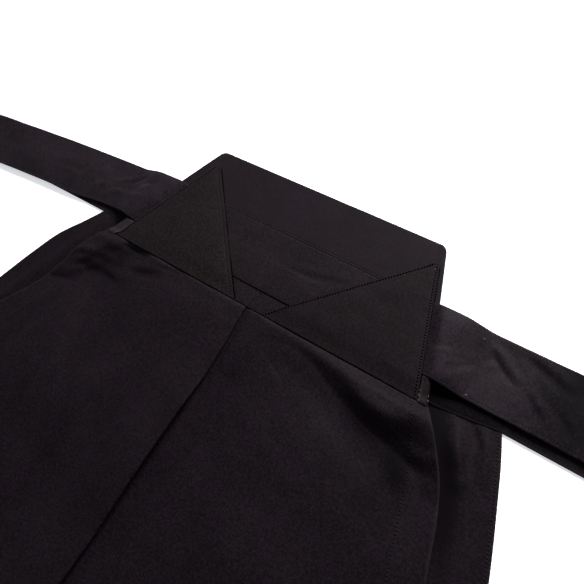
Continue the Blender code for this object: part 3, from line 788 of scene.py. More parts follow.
def front_panel(side, sign):
    """The folded sheet, its top row following the waistband's edge, with a narrow stitched hem."""
    y = panel_rows(0.0, FRONT_HEM, CLOTH, count=124, even=0.16)
    waist = BAND_EDGE[-1 if side == "right" else 0][1]
    edge = through(FRONT_EDGE[side], y + waist * (1.0 - y / HEM_Y))
    out, level = front_sections(side, y, edge)
    x = sign * out
    top = through(BAND_EDGE, x) + BAND_TUCK
    y = top + (HEM_Y - top) * (y / HEM_Y)
    from_edge = edge - out
    turned_under = np.where(level < 0.5, 1.0 - smooth(from_edge, EDGE_SEAM - 0.0008, EDGE_HEM), 0.0)
    plan = stacked(x, y, 0.5 * CLOTH + PITCH * level)
    middle = plan.copy()
    middle[..., 2] += margin_lift(x, y) + turned_under * 0.00018
    seam, along = nearer_seam(from_edge - EDGE_SEAM, y - HEM_Y - FRONT_HEM, x, y)
    # Painted shadow where the back panel's edge shades the front's margin.
    covered = out - through(BACK_EDGE[side], y)
    deep = -BACK_EDGE_PAINTED_SHADOW[side] * np.exp(-((covered - 0.003) / 0.009)**2) * smooth(y, -0.090, -0.040)
    uv = stacked(run_lengths(plan, 1), y)
    piece, _, _ = cloth_shell("cloth_front_" + side, middle, CLOTH, panel_twill, uv, seam, along, deep)
    lay("front_panel_" + side)
    column = -1 - list(EDGE_STEPS).index(EDGE_SEAM)
    upper, normal = tops[piece.name]
    sew(upper[4:-4, column], normal[4:-4, column], along[4:-4, column], "faint")


for front_side, front_sign in SIDES:
    front_panel(front_side, front_sign)

# %% [markdown]
# ## The front waistband and the gusset
#
# The pleats of the front are caught in a folded band, as thick as their stack where they end in
# it and thinner beyond them, where it runs on as the front straps. The gusset is a diamond of
# cloth between the legs, flat between front and back.

# %% Waistband and gusset
BAND_SLEEVE = 0.0013
BAND_SEAM = 0.0022
BAND_THIN = 0.0018


def front_waistband():
    """A flattened tube: rows from the lower edge up, its wall falling from the stack's height."""
    x = np.linspace(BAND_EDGE[0][0] - BAND_SLEEVE, BAND_EDGE[-1][0] + BAND_SLEEVE, 150)[None, :]
    x = beside(x[:, :1] + rim(BAND_TOP), x[:, 2:-2], x[:, -1:] - rim(BAND_TOP)[::-1])
    rise = stations(FRONT_BAND_WIDTH, 0.0016, BAND_TOP, marks=[BAND_SEAM])[:, None]
    y = through(BAND_EDGE, x) + rise
    thick = BAND_TOP - (BAND_TOP - BAND_THIN) * smooth(np.abs(x), 0.124, 0.150)
    plan = stacked(x, y, 0.5 * thick)
    middle = plan.copy()
    middle[..., 2] += np.abs(waves(x, y, 0.016, 0.00012, seed=4))
    seam = rise - BAND_SEAM
    # The left half is painted lighter; the darker band cloth is painted shade meant for the right end, in the
    # back strap's shadow.
    wear_and_painted_light = 0.30 * smooth(-x, 0.0, 0.05)
    piece, upper, normal = cloth_shell("cloth_front_waistband", middle, thick - 0.0002, shaded_band_twill,
                                       stacked(x, y), seam, x, wear_and_painted_light, order=ROWS_TURNED)
    lay("front_waistband")
    row = int(np.argmin(np.abs(seam)))
    sew(upper[row, 4:-4], normal[row, 4:-4], x[0, 4:-4])


GUSSET_Y = -0.460
GUSSET_HALF_WIDTH = 0.030
GUSSET_HALF_LENGTH = 0.060


def gusset():
    """Corners at width (a - b) and length (a + b), a and b running over the diamond's two sides."""
    edge = stations(1.0, 0.05, 0.02) - 0.5
    a, b = np.meshgrid(edge, edge, indexing="ij")
    plan = stacked(GUSSET_HALF_WIDTH * (b - a), GUSSET_Y - GUSSET_HALF_LENGTH * (a + b), PITCH + 0.5 * CLOTH)
    piece, _, _ = cloth_shell("cloth_gusset", plan, 0.9 * CLOTH, panel_twill, plan[..., :2])
    lay("crotch_gusset")


front_waistband()
gusset()

# %% [markdown]
# ## The back panels
#
# Two sheets lie over the pleats. The left one makes the centre pleat: it climbs over, turns
# round its fold and goes back underneath, and the right one slips beneath it. Where the panels
# are sewn to the board the cloth bunches, so a long round ridge runs beside the seam with a deep
# trough under it, and smaller dents lie at the corners. Their hems at the sides are turned under
# by the width of two fingers and stitched.

# %% What the back lies on
def pleat_cover(x, y):
    """1 where the pressed front pleats lie below, 0 where the front is one layer."""
    cover = 0.0
    for side, sign in SIDES:
        out = sign * x
        first = between(FRONT_PLEATS[side][0], y) - COVER_LEAD
        last = between(FRONT_PLEATS[side][-1], y) + between(FRONT_PLEAT_DEPTH, y) + RAMP_END
        rise = smooth(out, first - PLEAT_RAMP, first - RAMP_END)
        fall = 1.0 - smooth((out - last) / PLEAT_RAMP, 0.0, 1.0)
        cover = np.maximum(cover, rise * fall)
    return cover


def gusset_cover(x, y):
    """1 between the inner pleats where the gusset lies below, fading towards waist and hem."""
    first = pleat_place(0, x, y)
    inside = 1.0 - smooth(np.abs(x), first - RAMP_END, first + PLEAT_RAMP)
    away = np.abs(y - GUSSET_Y) - GUSSET_HALF_LENGTH
    return inside * (1.0 - smooth(away, 0.020, 0.150))


def back_floor(x, y):
    """Height of the lower face of the lowest back layer: just above all that lies below."""
    pressed = PITCH * np.maximum(2.0 * pleat_cover(x, y), gusset_cover(x, y))
    return PITCH + pressed + 1.2 * margin_lift(x, y)


SEAM_LEVEL = COVER_BOTTOM + 0.0002


def seam_lift(x, y, stack):
    """Height up to the board's face, where `stack` pitches of cloth lie above the lowest layer."""
    return np.maximum(SEAM_LEVEL - back_floor(x, y) - 0.5 * CLOTH - PITCH * stack, 0.0)


def centre_fold(y):
    """Where the left back panel's fold edge lies over the right one."""
    return 0.0074 * (1.0 - np.exp(np.asarray(y, float) / 0.045)) - 0.0014


# %% The folds of the back
LONG_FOLDS = [
    crease([-10, -90, 12, -700], (1, 3, 3), 26),
    crease([-110, -210, -165, -860], (2, 3.4, 3), 22),
    crease([-190, -260, -262, -900], (1.6, 2.8, 2.6), 19),
    crease([85, -170, 130, -780], (1.6, 3.4, 3.2), 22),
    crease([170, -240, 236, -900], (1.4, 2.8, 2.6), 19),
    crease([-55, -330, -30, -560, -46, -820], (0, 1.6, 1), 12, 20),
    crease([50, -300, 62, -480, 40, -700], (0, 1.8, 0.6), 18, 11),
    crease([-240, -420, -300, -620, -310, -850], (0.4, 2, 0.8), 15),
    crease([262, -400, 300, -640, 322, -880], (0.4, 1.8, 1), 14),
    crease([150, -500, 205, -540, 262, -530], (0.2, 1.2, 0.2), 10),
    crease([-140, -640, -205, -660, -268, -640], (0.2, 1.2, 0.2), 11),
]
RIGHT_FOLDS = LONG_FOLDS + [
    crease([53.6, -3.6, 78.2, -4.8, 96.4, -9.8, 109.5, -15.5, 123.7, -16, 133, -12.5, 140, -7.5],
           (0.2, 0.6, 0.5), 4.6, 4),
    crease([70, -25, 100, -33, 128, -44, 148, -56], (-0.2, -1, -0.6), 6, 10),
    crease([60, -36, 95, -52, 135, -74], (0.8, 1.8, 0.8), 12, 26),
    crease([142, -26.5, 150, -28.5, 160, -26.2], (0.4, 1.1, 0.8), 3.4, 4),
    crease([145, -34.5, 154, -35.5, 164, -35.7], (-0.3, -1, -0.4), 2.6, 3.6),
    crease([152, -45, 160, -70, 170, -105], (0.5, 0.9, 0.6), 4, 11),
    crease([6, -92.5, 18, -93, 36, -90.5], (-2.2, -1.6, -0.2), 4, 5.2),
    crease([4, -49, 15, -49.7, 30, -49.5], (-0.8, -1, -0.1), 4.5, 6),
    crease([30, -30, 60, -85, 85, -170], (0.6, 1.4, 0.8), 20, 13),
    crease([110, -75, 122, -120, 128, -180], (0.2, 0.9, 0.4), 15, 10),
]
LEFT_FOLDS = LONG_FOLDS + [
    step([-330, -155, -150, -150, -20, -152, 100, -160], 6, 48),
    crease([-143, -8, -133, -6, -122, -3.5], (0.6, 1, 0.6), 4.2, 3.6),
    crease([-123, -4.5, -117.5, -3.4, -111.6, -2, -104.4, -1.6, -95, -1.6], (-0.6, -3, -0.8), 2, 2.8),
    crease([-153, -31.8, -147, -27.8, -138, -25.6], (-0.8, -1.4, -0.4), 2.4, 2.8),
    crease([-150, -25, -142, -21.5, -133, -19.5], (0.8, 1.4, 0.4), 3),
    step([-140, -33.5, -131, -31, -123, -26.8], 3, 4.6),
    step([-133, -23, -125, -20.5, -118, -18], 1.8, 4),
    step([-126, -28.5, -117.1, -29.8, -110.1, -30.4, -101, -31.2], 2.2, 3.8),
    step([-102, -16.8, -96.1, -16, -89.5, -15.3, -82.4, -12.6, -76, -8], 2, 4.2),
    step([-84, -6.2, -78.9, -4.4, -72, -3.1, -67.1, -2.2, -62, -1.4], 1.2, 2),
    crease([-162, -54, -149.2, -50.6, -136, -47], (-0.6, -1.4, -0.3), 2.4, 2.8),
    crease([-139.3, -34.5, -144.9, -57.1, -151.7, -78.5, -154, -115], (1, 1.6, 0.8), 8, 7),
    crease([-114, -34, -106.2, -61.4, -100.1, -83.9, -93, -120], (-0.6, -1.2, -0.6), 13, 11),
    crease([-104, -18, -70, -20, -20, -16], (0.6, 1.2, 0.8), 8, 17),
    crease([-112, -90, -95, -108, -74, -132], (0.2, 0.7, 0.2), 5, 9),
    crease([-18, -56, -16, -100, -14, -170], (0.2, 0.8, 0.4), 6, 9),
    crease([-50, -50, -58, -100, -52, -160], (0.2, 1, 0.4), 14),
    crease([-85, -50, -100, -80, -120, -150], (0.4, 1.2, 0.6), 13, 17),
]
OPENING = table(0, 0, -30, 0.3, -56, 0.4, -68, 1.4, -80, 3, -100, 3.6, -150, 3.4, -240, 2.6, -400, 1.4,
                -600, 1.8, -850, 1.4, -970, 1)

# Painted shade in the troughs and dents by the board's seam: the heights are shares of the light measure,
# below zero.
RIGHT_PAINTED_SHADE = [
    crease([70, -9.5, 82.6, -12.2, 102.7, -20.7, 119, -24.5, 136.6, -30, 146, -36],
           (-0.06, -0.06, -0.45), 5, 8),
    crease([134, -30, 142, -40, 149, -56], (-0.2, -0.8, -0.2), 7, 7),
    crease([130, -21.5, 142.1, -18, 150, -21.5, 156, -27], (-0.1, -0.55, -0.3), 5, 5),
    crease([30, -10.5, 42, -11.5, 57, -14.8, 85, -23], (-0.14, -0.38, -0.12), 5, 12),
    crease([100, -50, 111.7, -52.9, 121.4, -57.2, 140, -64], (-0.1, -0.34, -0.3), 15, 18),
]
LEFT_PAINTED_SHADE = [
    crease([-147, -35.2, -141, -31.2, -135, -28.2, -130, -26.2], (-0.3, -1.3, -0.6), 2.4, 2.8),
    crease([-119, -21, -111.8, -17.7, -107, -16], (-0.3, -0.9, -0.1), 5.5, 5.5),
    crease([-131, -32.5, -126.4, -28.4, -124.9, -23.2, -123.2, -19.5], (-0.3, -0.9, -0.2), 5.2, 5.2),
    crease([-126.8, -11, -120.9, -9.2, -113, -7.5, -106, -3.6, -96, -1.8], (-0.45, -0.9, -0.2), 3.4, 5),
    crease([-124, -29.2, -117.1, -29.8, -110.1, -30.4, -102, -31.2], (-0.3, -0.45, -0.05), 3.4, 3.4),
    crease([-100, -16.4, -89.5, -15.3, -82.4, -12.6, -77, -11, -69, -11], (-0.25, -0.9, -0.1), 5, 5),
]

# Beside the board the panels come down from its face in two steps. Each row gives x, where the
# first step begins and ends, where the second does, the first one's share, and a height added.
SHOULDERS = {
    "right": table(
        0, -1, -16, -10, -100, 40, 0, 20, -3, -14, -8, -52, 100, 0.2, 45, -3, -9.2, -7, -45, 250, 0.4,
        65, -4.6, -12, -8, -48, 500, 1, 79, -6, -17.8, -12, -50, 780, 2,
        91, -9.2, -22, -18, -50, 950, 3.2, 104, -15, -25.4, -24, -50, 1000, 5,
        114, -17.2, -28, -27, -50, 1000, 6.2, 124, -17.2, -30.6, -31, -50, 1000, 6.6,
        132, -15, -32.2, -35, -50, 1000, 6.2, 138, -11.2, -33, -36, -50, 920, 5,
        146, -9.6, -34.5, -40, -55, 820, 3.6, 165, -9, -48, -45, -60, 1000, 3, columns=7),
    "left": table(
        -165, -27, -40, -44, -60, 450, 0.6, -145, -27, -36.2, -39, -49, 450, 1.2,
        -137, -21.2, -31.5, -34.5, -43, 500, 2.2, -130, -8.5, -23, -26, -39, 550, 2.8,
        -124, -3.5, -16, -19, -33, 600, 1.8, -118, 0.5, -8.5, -18, -32, 620, 0.6,
        -112, 1.5, -5.2, -20, -33, 700, 0, -105, 1.5, -4.6, -22, -36, 680, 0,
        -98, 1, -4, -22, -40, 560, 0, -90, 0.3, -4, -20, -50, 260, 0, -80, -0.5, -10, -12, -70, 120, 0,
        -50, -1, -14, -10, -120, 60, 0, 10, -1, -16, -10, -160, 40, 0, columns=7),
}

# %% The two sheets
SIDE_HEM = table(0, 10.5, -12, 14.5, -20, 16.7, -30, 19.3, -45, 21.5, -100, 22, -970, 22)
SIDE_SHARES = np.array([0.06, 0.11, 0.18, 0.27, 0.38, 0.50, 0.63, 0.77, 0.88, 0.96, 1.0])
SEAM_COLUMN = len(RIM_STEPS) + len(SIDE_SHARES) - 1
BOTTOM_HEM = 0.024
PLEAT_TUCK = 0.003
BACK_START = -0.0004


def side_steps(y):
    """Distances from the side edge where columns stand: the rim, the hem and just past its seam."""
    wide = through(SIDE_HEM, y)
    near = 0.0 * y + rim(HEM_WALL)
    return beside(near, near[:, -1:] + (wide - near[:, -1:]) * SIDE_SHARES, wide + [0.0007, 0.0016])


def shoulder(side, x, y, lift):
    """lift * (1 - share * f1 - (1 - share) * f2) + added * (1 - f1): each fall f goes from 0 to 1
    as t^2 * (2.2 - 1.2 t), steepest below its middle, t being the share of the way down."""
    rows = SHOULDERS[side]
    where = np.clip(x, rows[0][0], rows[-1][0])
    top, foot, top_2, foot_2, first, added = (through(rows[:, [0, k]], where) for k in range(1, 7))
    t = np.clip((top - y) / (top - foot), 0.0, 1.0)
    fall = t**2 * (2.2 - 1.2 * t)
    fall_2 = smooth(top_2 - y, 0.0, top_2 - foot_2)
    added = added * smooth(-y, 0.0, 0.010) * (1.0 - fall)
    return lift * (1.0 - first * fall - (1.0 - first) * fall_2) + added


def back_relief(x, y, folds, seed, standing):
    """Folds and waves on top of the standing height, never below the layer beneath, and pressed
    flat at the board's seam."""
    free = 0.15 + 0.85 * smooth(-y, 0.0, 0.0035)
    soft = waves(x, y, 0.055, 0.00055, seed) + waves(x, y, 0.020, 0.00012, seed + 1)
    return above(free * (relief(x, y, folds) + soft + 0.0009) + standing, 0.0006)


def hem_facts(side, x, y):
    """The seam measures of the side and bottom hems, and 1 where the cloth is turned under."""
    side_seam = through(BACK_EDGE[side], y) - np.abs(x) - through(SIDE_HEM, y)
    turned_under = np.maximum(1.0 - smooth(side_seam, -0.0004, 0.0016),
                              1.0 - smooth(y - HEM_Y, BOTTOM_HEM - 0.0004, BOTTOM_HEM + 0.0009))
    return *nearer_seam(side_seam, y - HEM_Y - BOTTOM_HEM, x, y), turned_under


def back_panel(side, x, y, level, facts, uv_from, added, column, run):
    """Lays a grid of places and levels on what is below, adds its folds, and sews its hems along
    one column and along the bottom hem's row from and to the columns of `run`."""
    seam, along, turned_under = facts
    wall = CLOTH + (HEM_WALL - CLOTH) * turned_under
    plan = stacked(x, y, back_floor(x, y) + 0.5 * wall + PITCH * level)
    middle = plan.copy()
    middle[..., 2] += added
    walked = run_lengths(plan, 1)
    uv = stacked(walked - walked[:, uv_from:uv_from + 1], y)
    # Painted shade in the troughs and dents by the board's seam.
    deep = relief(x, y, LEFT_PAINTED_SHADE if side == "left" else RIGHT_PAINTED_SHADE, unit=1.0)
    piece, upper, normal = cloth_shell("cloth_back_" + side, middle, wall, panel_twill, uv, seam, along, deep)
    lay("back_panel_" + side)
    sew(upper[6:-6, column], normal[6:-6, column], -y[6:-6, 0], "faint")
    row = int(np.argmin(np.abs(y[:, 0] - HEM_Y - BOTTOM_HEM)))
    sew(upper[row, run], normal[row, run], x[row, run])


def back_panel_left():
    """Flat over the leg, up over the centre pleat, round its fold edge and back underneath."""
    y = panel_rows(BACK_START, BOTTOM_HEM, CLOTH)
    fold = centre_fold(y)
    inner = fold - between(BACK_PLEAT_DEPTH, y)
    outer = -through(BACK_EDGE["left"], y)
    foot = inner - PLEAT_RAMP - RAMP_END
    steps = side_steps(y)
    start = outer + steps[:, -1:]
    turn = half_turn(9)
    x, level = joined([
        (outer + steps, 0.0),
        (start + (foot - start) * share(104), 0.0),
        (foot + PLEAT_RAMP * share(14), 2.0 * smooth(share(14), 0.0, 1.0)),
        (inner - RAMP_END + (fold - inner + RAMP_END) * share(22)[:-1], 2.0),
        (fold + 0.5 * PITCH * np.cos(turn), 1.5 + 0.5 * np.sin(turn)),
        (fold + (inner + rim(CLOTH)[-1] - fold) * share(12), 1.0),
        (inner + rim(CLOTH)[-2::-1], 1.0)], y)
    seam, along, turned_under = hem_facts("left", x, y)
    opening = through(OPENING, y) * np.clip((x - inner) / (fold - inner), 0.0, 1.0)**1.5
    stack = 2.0 * smooth(x, foot, foot + PLEAT_RAMP)
    folds = back_relief(x, y, LEFT_FOLDS, 11, shoulder("left", x, y, seam_lift(x, y, stack)))
    fold_column = int(np.argmax(x[0]))
    facts = seam, along, np.where(level < 0.5, turned_under, 0.0)
    back_panel("left", x, y, level, facts, fold_column, folds + opening,
               SEAM_COLUMN,
               slice(8, fold_column - 4))


def back_panel_right():
    """From the centre seam under the left panel's pleat out to the side edge."""
    y = panel_rows(BACK_START, BOTTOM_HEM, CLOTH)
    fold = centre_fold(y)
    inner = fold - between(BACK_PLEAT_DEPTH, y)
    edge = through(BACK_EDGE["right"], y)
    begin = fold + PLEAT_TUCK
    steps = side_steps(y)
    near = inner + rim(CLOTH)
    x = beside(near, near[:, -1:] + (begin - near[:, -1:]) * share(20),
               begin + (edge - steps[:, -1:] - begin) * share(120), edge - steps[:, -2::-1])
    stack = 2.0 * (1.0 - smooth(x, fold + 0.001, fold + 0.007))
    free = smooth(x, fold + 0.001, fold + 0.020)
    standing = shoulder("right", x, y, seam_lift(x, y, stack))
    folds = standing + free * (back_relief(x, y, RIGHT_FOLDS, 23, standing) - standing)
    back_panel("right", x, y, 0.0, hem_facts("right", np.maximum(x, 0.0), y), 0, folds,
               -1 - SEAM_COLUMN, slice(30, -8))


back_panel_left()
back_panel_right()
stitch_mesh("stitches_of_the_legs", black_thread)

# %% [markdown]
# ## The back board
#
# The board is card wrapped in the trousers' own cloth. Its base is wider than its top, and the
# two upper corners are rounded. A second cloth, the top cover, goes over the upper edge and both
# upper corners, as a tablecloth goes over a table: every point keeps its distance, runs over a
# quarter circle at the edge, and hangs down the wall from there. In the corners its rings become
# circles round the corner's centre.

# %% Laying cloth round the board's edge
COVER_OFFSET = 0.0008
COVER_BEND = 0.0013
BOARD_MARGIN = 0.0065
BOARD_STEPS = table(0, 0.02, 0.1, 0.3, 0.7, 1.3, 1.9, 2.6, 3.3, 4.0, 4.8, 5.8, columns=12)[0]


def board_half_width(y):
    return 0.5 * BOARD_BASE + (0.5 * BOARD_TOP - 0.5 * BOARD_BASE) * y / BOARD_HEIGHT


def over_edge(s):
    """Run over a quarter circle that begins at s = offset - bend: (how far out, how far down)."""
    start = COVER_OFFSET - COVER_BEND
    past = s - start
    angle = np.clip(past / COVER_BEND, 0.0, 0.5 * math.pi)
    out = np.where(past > 0.0, start + COVER_BEND * np.sin(angle), s)
    return out, COVER_BEND * (1.0 - np.cos(angle)) + np.maximum(past - 0.5 * math.pi * COVER_BEND, 0.0)


def stay_level(s):
    return s, 0.0 * s


def round_corner(q, p, run):
    """q and p are distances past the side and the top edge. In the corner the square rings
    max(q, p) become circles: the angle is 45 degrees times the smaller share of the larger."""
    a = q + BOARD_CORNER
    b = p + BOARD_CORNER
    ring = np.maximum(a, b)
    out, down = run(ring - BOARD_CORNER)
    small = np.clip(np.minimum(a, b), 0.0, None) / np.maximum(ring, 1e-9)
    angle = np.where(a >= b, 0.25 * math.pi * small, 0.5 * math.pi - 0.25 * math.pi * small)
    corner = (a > 0.0) & (b > 0.0)
    reach = BOARD_CORNER + out
    new_q = np.where(corner, -BOARD_CORNER + reach * np.cos(angle), np.where(a >= b, out, q))
    new_p = np.where(corner, -BOARD_CORNER + reach * np.sin(angle), np.where(b > a, out, p))
    return new_q, new_p, down


def on_board(side, q, p, run):
    """From distances past the edges to (x, y, drop); side is -1, 0 or 1 for left, middle, right."""
    new_q, new_p, down = round_corner(q, p, run)
    y = BOARD_HEIGHT + new_p
    return side * (board_half_width(y) + new_q), y, down


def board_core():
    """The wrapped card: its wall closes at the edges as (1 - i^3)^(1/3), nearly square."""
    reach = BOARD_HEIGHT - BOARD_STEPS[-1] - BOARD_MARGIN
    y = [BOARD_HEIGHT - BOARD_STEPS, BOARD_MARGIN + reach * (1.0 - share(56)), BOARD_STEPS[-2::-1]]
    y = np.concatenate(y)[:, None]
    half = board_half_width(y)
    inner = half - BOARD_STEPS[-1]
    x = beside(-half + BOARD_STEPS, -inner + 2.0 * inner * share(120), half - BOARD_STEPS[-2::-1])
    x, y, _ = on_board(np.where(x < 0.0, -1.0, 1.0), np.abs(x) - half, y - BOARD_HEIGHT + 0.0 * x, stay_level)
    bow = 0.00035 * (1.0 - (x / 0.14)**2) + waves(x, y, 0.030, 0.00006, seed=31)
    middle = stacked(x, y, BOARD_BOTTOM + 0.5 * BOARD_WALL)
    wall = BOARD_WALL + bow * 0.4
    piece, _, _ = cloth_shell("board_core", middle, wall, board_twill, middle[..., :2], power=3.0)
    lay("back_board")


# %% The top cover
PANEL_LOW = 0.0155
PANEL_HIGH = 0.0640
COVER_CLEAR = {"left": 0.0657, "right": 0.0641}
UNDERLAP = 0.010
FLAPS = {"left": (0.0105, 0.1315, 0.0945, 0.0925), "right": (0.0135, 0.1345, 0.1010, 0.0910)}
FLAP_POINT = 0.002
COVER_DROP = 0.0036
COVER_GAP = 0.0001
COVER_MIDDLE = COVER_BOTTOM + 0.5 * CLOTH
WRAP = COVER_OFFSET - COVER_BEND + 0.5 * math.pi * COVER_BEND + COVER_DROP - COVER_BEND


def flap_edges(side, y):
    """Where a flap's inner and outer edges run: straight from the base to its blunt point."""
    inner, outer, point, high = FLAPS[side]
    return (inner + (point - 0.5 * FLAP_POINT - inner) * y / high,
            outer + (point + 0.5 * FLAP_POINT - outer) * y / high)


def top_cover():
    """A flat cloth on a fine lattice at the edges, carried over them by over_edge."""
    lattice = np.concatenate([WRAP - rim(0.8 * CLOTH), np.arange(WRAP - 0.0009, -0.0062, -0.00042)])
    last = lattice[-1]
    q = np.concatenate([lattice, np.full(111, last), lattice[::-1]])[None, :]
    middle_share = np.concatenate([0.0 * lattice, share(112)[:-1], 1.0 + 0.0 * lattice])[None, :]
    rise = BOARD_HEIGHT + last - 0.068
    p = np.concatenate([lattice, last - rise * share(30)[:-1], last - rise + rim(CLOTH)[::-1]])[:, None]
    nominal = BOARD_HEIGHT + p + 0.0 * q
    across = 2.0 * middle_share - 1.0
    reach = np.abs(across) * (board_half_width(0.07) + last)
    clear = mirrored(COVER_CLEAR, across)
    low = PANEL_HIGH + COVER_GAP + (clear - PANEL_HIGH - COVER_GAP) * smooth(reach, 0.0875, 0.0945)
    fall = np.clip((BOARD_HEIGHT + last - nominal) / (BOARD_HEIGHT + last - nominal[-1:]), 0.0, 1.0)
    y = nominal + fall * (low - nominal[-1:])
    half = board_half_width(y)
    x_flat = across * (half + np.where(np.abs(across) < 1.0, last, q))
    side = np.where(x_flat < 0.0, -1.0, 1.0)
    x, y_new, down = on_board(side, np.abs(x_flat) - half, y - BOARD_HEIGHT, over_edge)
    soft = waves(x_flat, y, 0.034, 0.00016, seed=37) + waves(x_flat, y, 0.011, 0.00004, seed=38)
    plan = stacked(x, y_new, COVER_MIDDLE - down)
    middle = plan.copy()
    middle[..., 2] += np.exp(-(down / 0.0015)**2) * (soft + 0.0002)
    # Lighter towards the left end, and a lighter line where the cloth bends over the board's edge, partly
    # rubbing and partly a painted highlight.
    wear_and_painted_light = 0.035 - 0.45 * x_flat + 0.25 * np.exp(-((down - 0.0005) / 0.0006)**2)
    piece, _, _ = cloth_shell("board_cover", middle, CLOTH, cover_twill, stacked(x_flat, y), wear_and_painted_light=wear_and_painted_light,
                              edge_wear_and_light=0.1, power=3.0)
    lay("board_top_cover")


# %% The centre panel
PIPING = 0.0017
SLOT_SEAM = 0.0012
PANEL_CREASES = [
    crease([-62, 40, -20, 38.5, 30, 37.5, 66, 37], (0.06, 0.14, 0.1), 1.2, 6),
    crease([-68, 47.5, 0, 47, 40, 46], (-0.1, -0.22, -0.18), 7),
    crease([-29.6, 63.2, -31.4, 54.3, -33.4, 43.6], (0.2, 1.5, 0.2), 1.2, 1.4),
    step([8, 41.5, 18.1, 42.1, 27.2, 43, 36.1, 45.2, 44.9, 48, 58, 50.5], 0.8, 3.6),
    step([-6, 37.5, 9.7, 38.4, 19.1, 38.8, 26.8, 39, 34.1, 39.5, 44, 40.5], -0.25, 1.8),
    crease([20, 34, 40, 27, 50, 23], (0.05, 0.3, 0.05), 3, 6),
]


def centre_panel():
    """Rows up the panel: turned hem, a faint fold, and a narrow piping between two sunk lines."""
    marks = [SLOT_SEAM, PANEL_HIGH - PANEL_LOW - PIPING]
    rise = stations(PANEL_HIGH - PANEL_LOW, 0.0009, CLOTH, marks)[::-1, None]
    inner = flap_edges("right", PANEL_LOW + rise)[0]
    half = inner + UNDERLAP
    x = beside(-half + rim(CLOTH), -half + rim(CLOTH)[-1] + 2.0 * (half - rim(CLOTH)[-1]) * share(110)[:-1],
               half - rim(CLOTH)[::-1])
    y = PANEL_LOW + rise + 0.0 * x
    piping_seam = y - (PANEL_HIGH - PIPING)
    slot_seam = y - (PANEL_LOW + SLOT_SEAM)
    piping = (0.00012 * np.exp(-((y - PANEL_HIGH + 0.0009) / 0.0007)**2)
              - 0.00022 * np.exp(-(piping_seam / 0.00035)**2))
    lip = -0.0003 * (1.0 - smooth(rise, 0.0, 0.0060))
    soft = waves(x, y, 0.024, 0.00014, seed=41) + 0.0004 * smooth(rise, 0.004, 0.016)
    soft = soft + relief(x, y, PANEL_CREASES)
    shown = smooth(inner - np.abs(x), -0.004, 0.004)
    plan = stacked(x, y, COVER_MIDDLE)
    middle = plan.copy()
    middle[..., 2] += piping + shown * (lip + np.maximum(soft, -0.0002))
    seam = np.where(np.abs(piping_seam) < np.abs(slot_seam), piping_seam * 0.8, slot_seam)
    piece, upper, normal = cloth_shell("board_centre_cloth", middle, CLOTH, board_twill, plan[..., :2],
                                       seam=seam, along=x, wear_and_painted_light=0.04, edge_wear_and_light=0.1, power=3.0)
    lay("board_centre_panel")
    for line, kind in ((slot_seam, "run"), (piping_seam, "line"), (y - y.max(), "line")):
        row = int(np.argmin(np.abs(line[:, 0])))
        part = np.flatnonzero(shown[row] > 0.4)
        sew(upper[row, part], normal[row, part], x[row, part], kind)


board_core()
top_cover()
centre_panel()

# %% [markdown]
# ## The flaps
#
# The ends of the board's cloth fold over the straps' ends as two long triangles and are stitched
# down all round. Their inner edges meet the base near the middle, and their points stand below
# the board's upper corners. The sewing draws small puckers into the edge, strongest where
# the flap has three layers beneath it.

# %% The flaps
FLAP_STEPS = np.concatenate([rim(CLOTH), [0.0007, 0.0010, 0.0012, 0.0019, 0.0026, 0.0032, 0.0038]])
FLAP_SEAMS = {
    "left": {"inner": ((0.0, "cord"), (0.0026, "faint")), "outer": ((0.0012, "whip"),)},
    "right": {"inner": ((0.0010, "whip"),), "outer": ((0.0, "cord"), (0.0019, "dots"))},
}
# Painted highlight along each flap's rolled outer edge.
FLAP_EDGE_HIGHLIGHT = {"left": 1.0, "right": 0.9}
FLAP_CREASES = {
    "right": [
        crease([45, 12, 75, 20, 100, 30], (0.1, 0.4, 0.1), 9, 15),
        crease([100, 60, 112, 35, 120, 12], (0.1, 0.3, 0.2), 6, 10),
        crease([70, 48, 90, 50, 100, 58], (-0.1, -0.3, -0.1), 5, 8),
    ],
    "left": [
        crease([-95, 64, -100, 48, -110, 36], (-0.1, -0.5, -0.1), 5, 8),
        crease([-120, 22, -98, 32, -80, 45], (0.1, 0.4, 0.1), 6, 10),
        crease([-60, 18, -80, 26, -100, 26], (0.1, 0.3, 0.1), 10, 14),
    ],
}


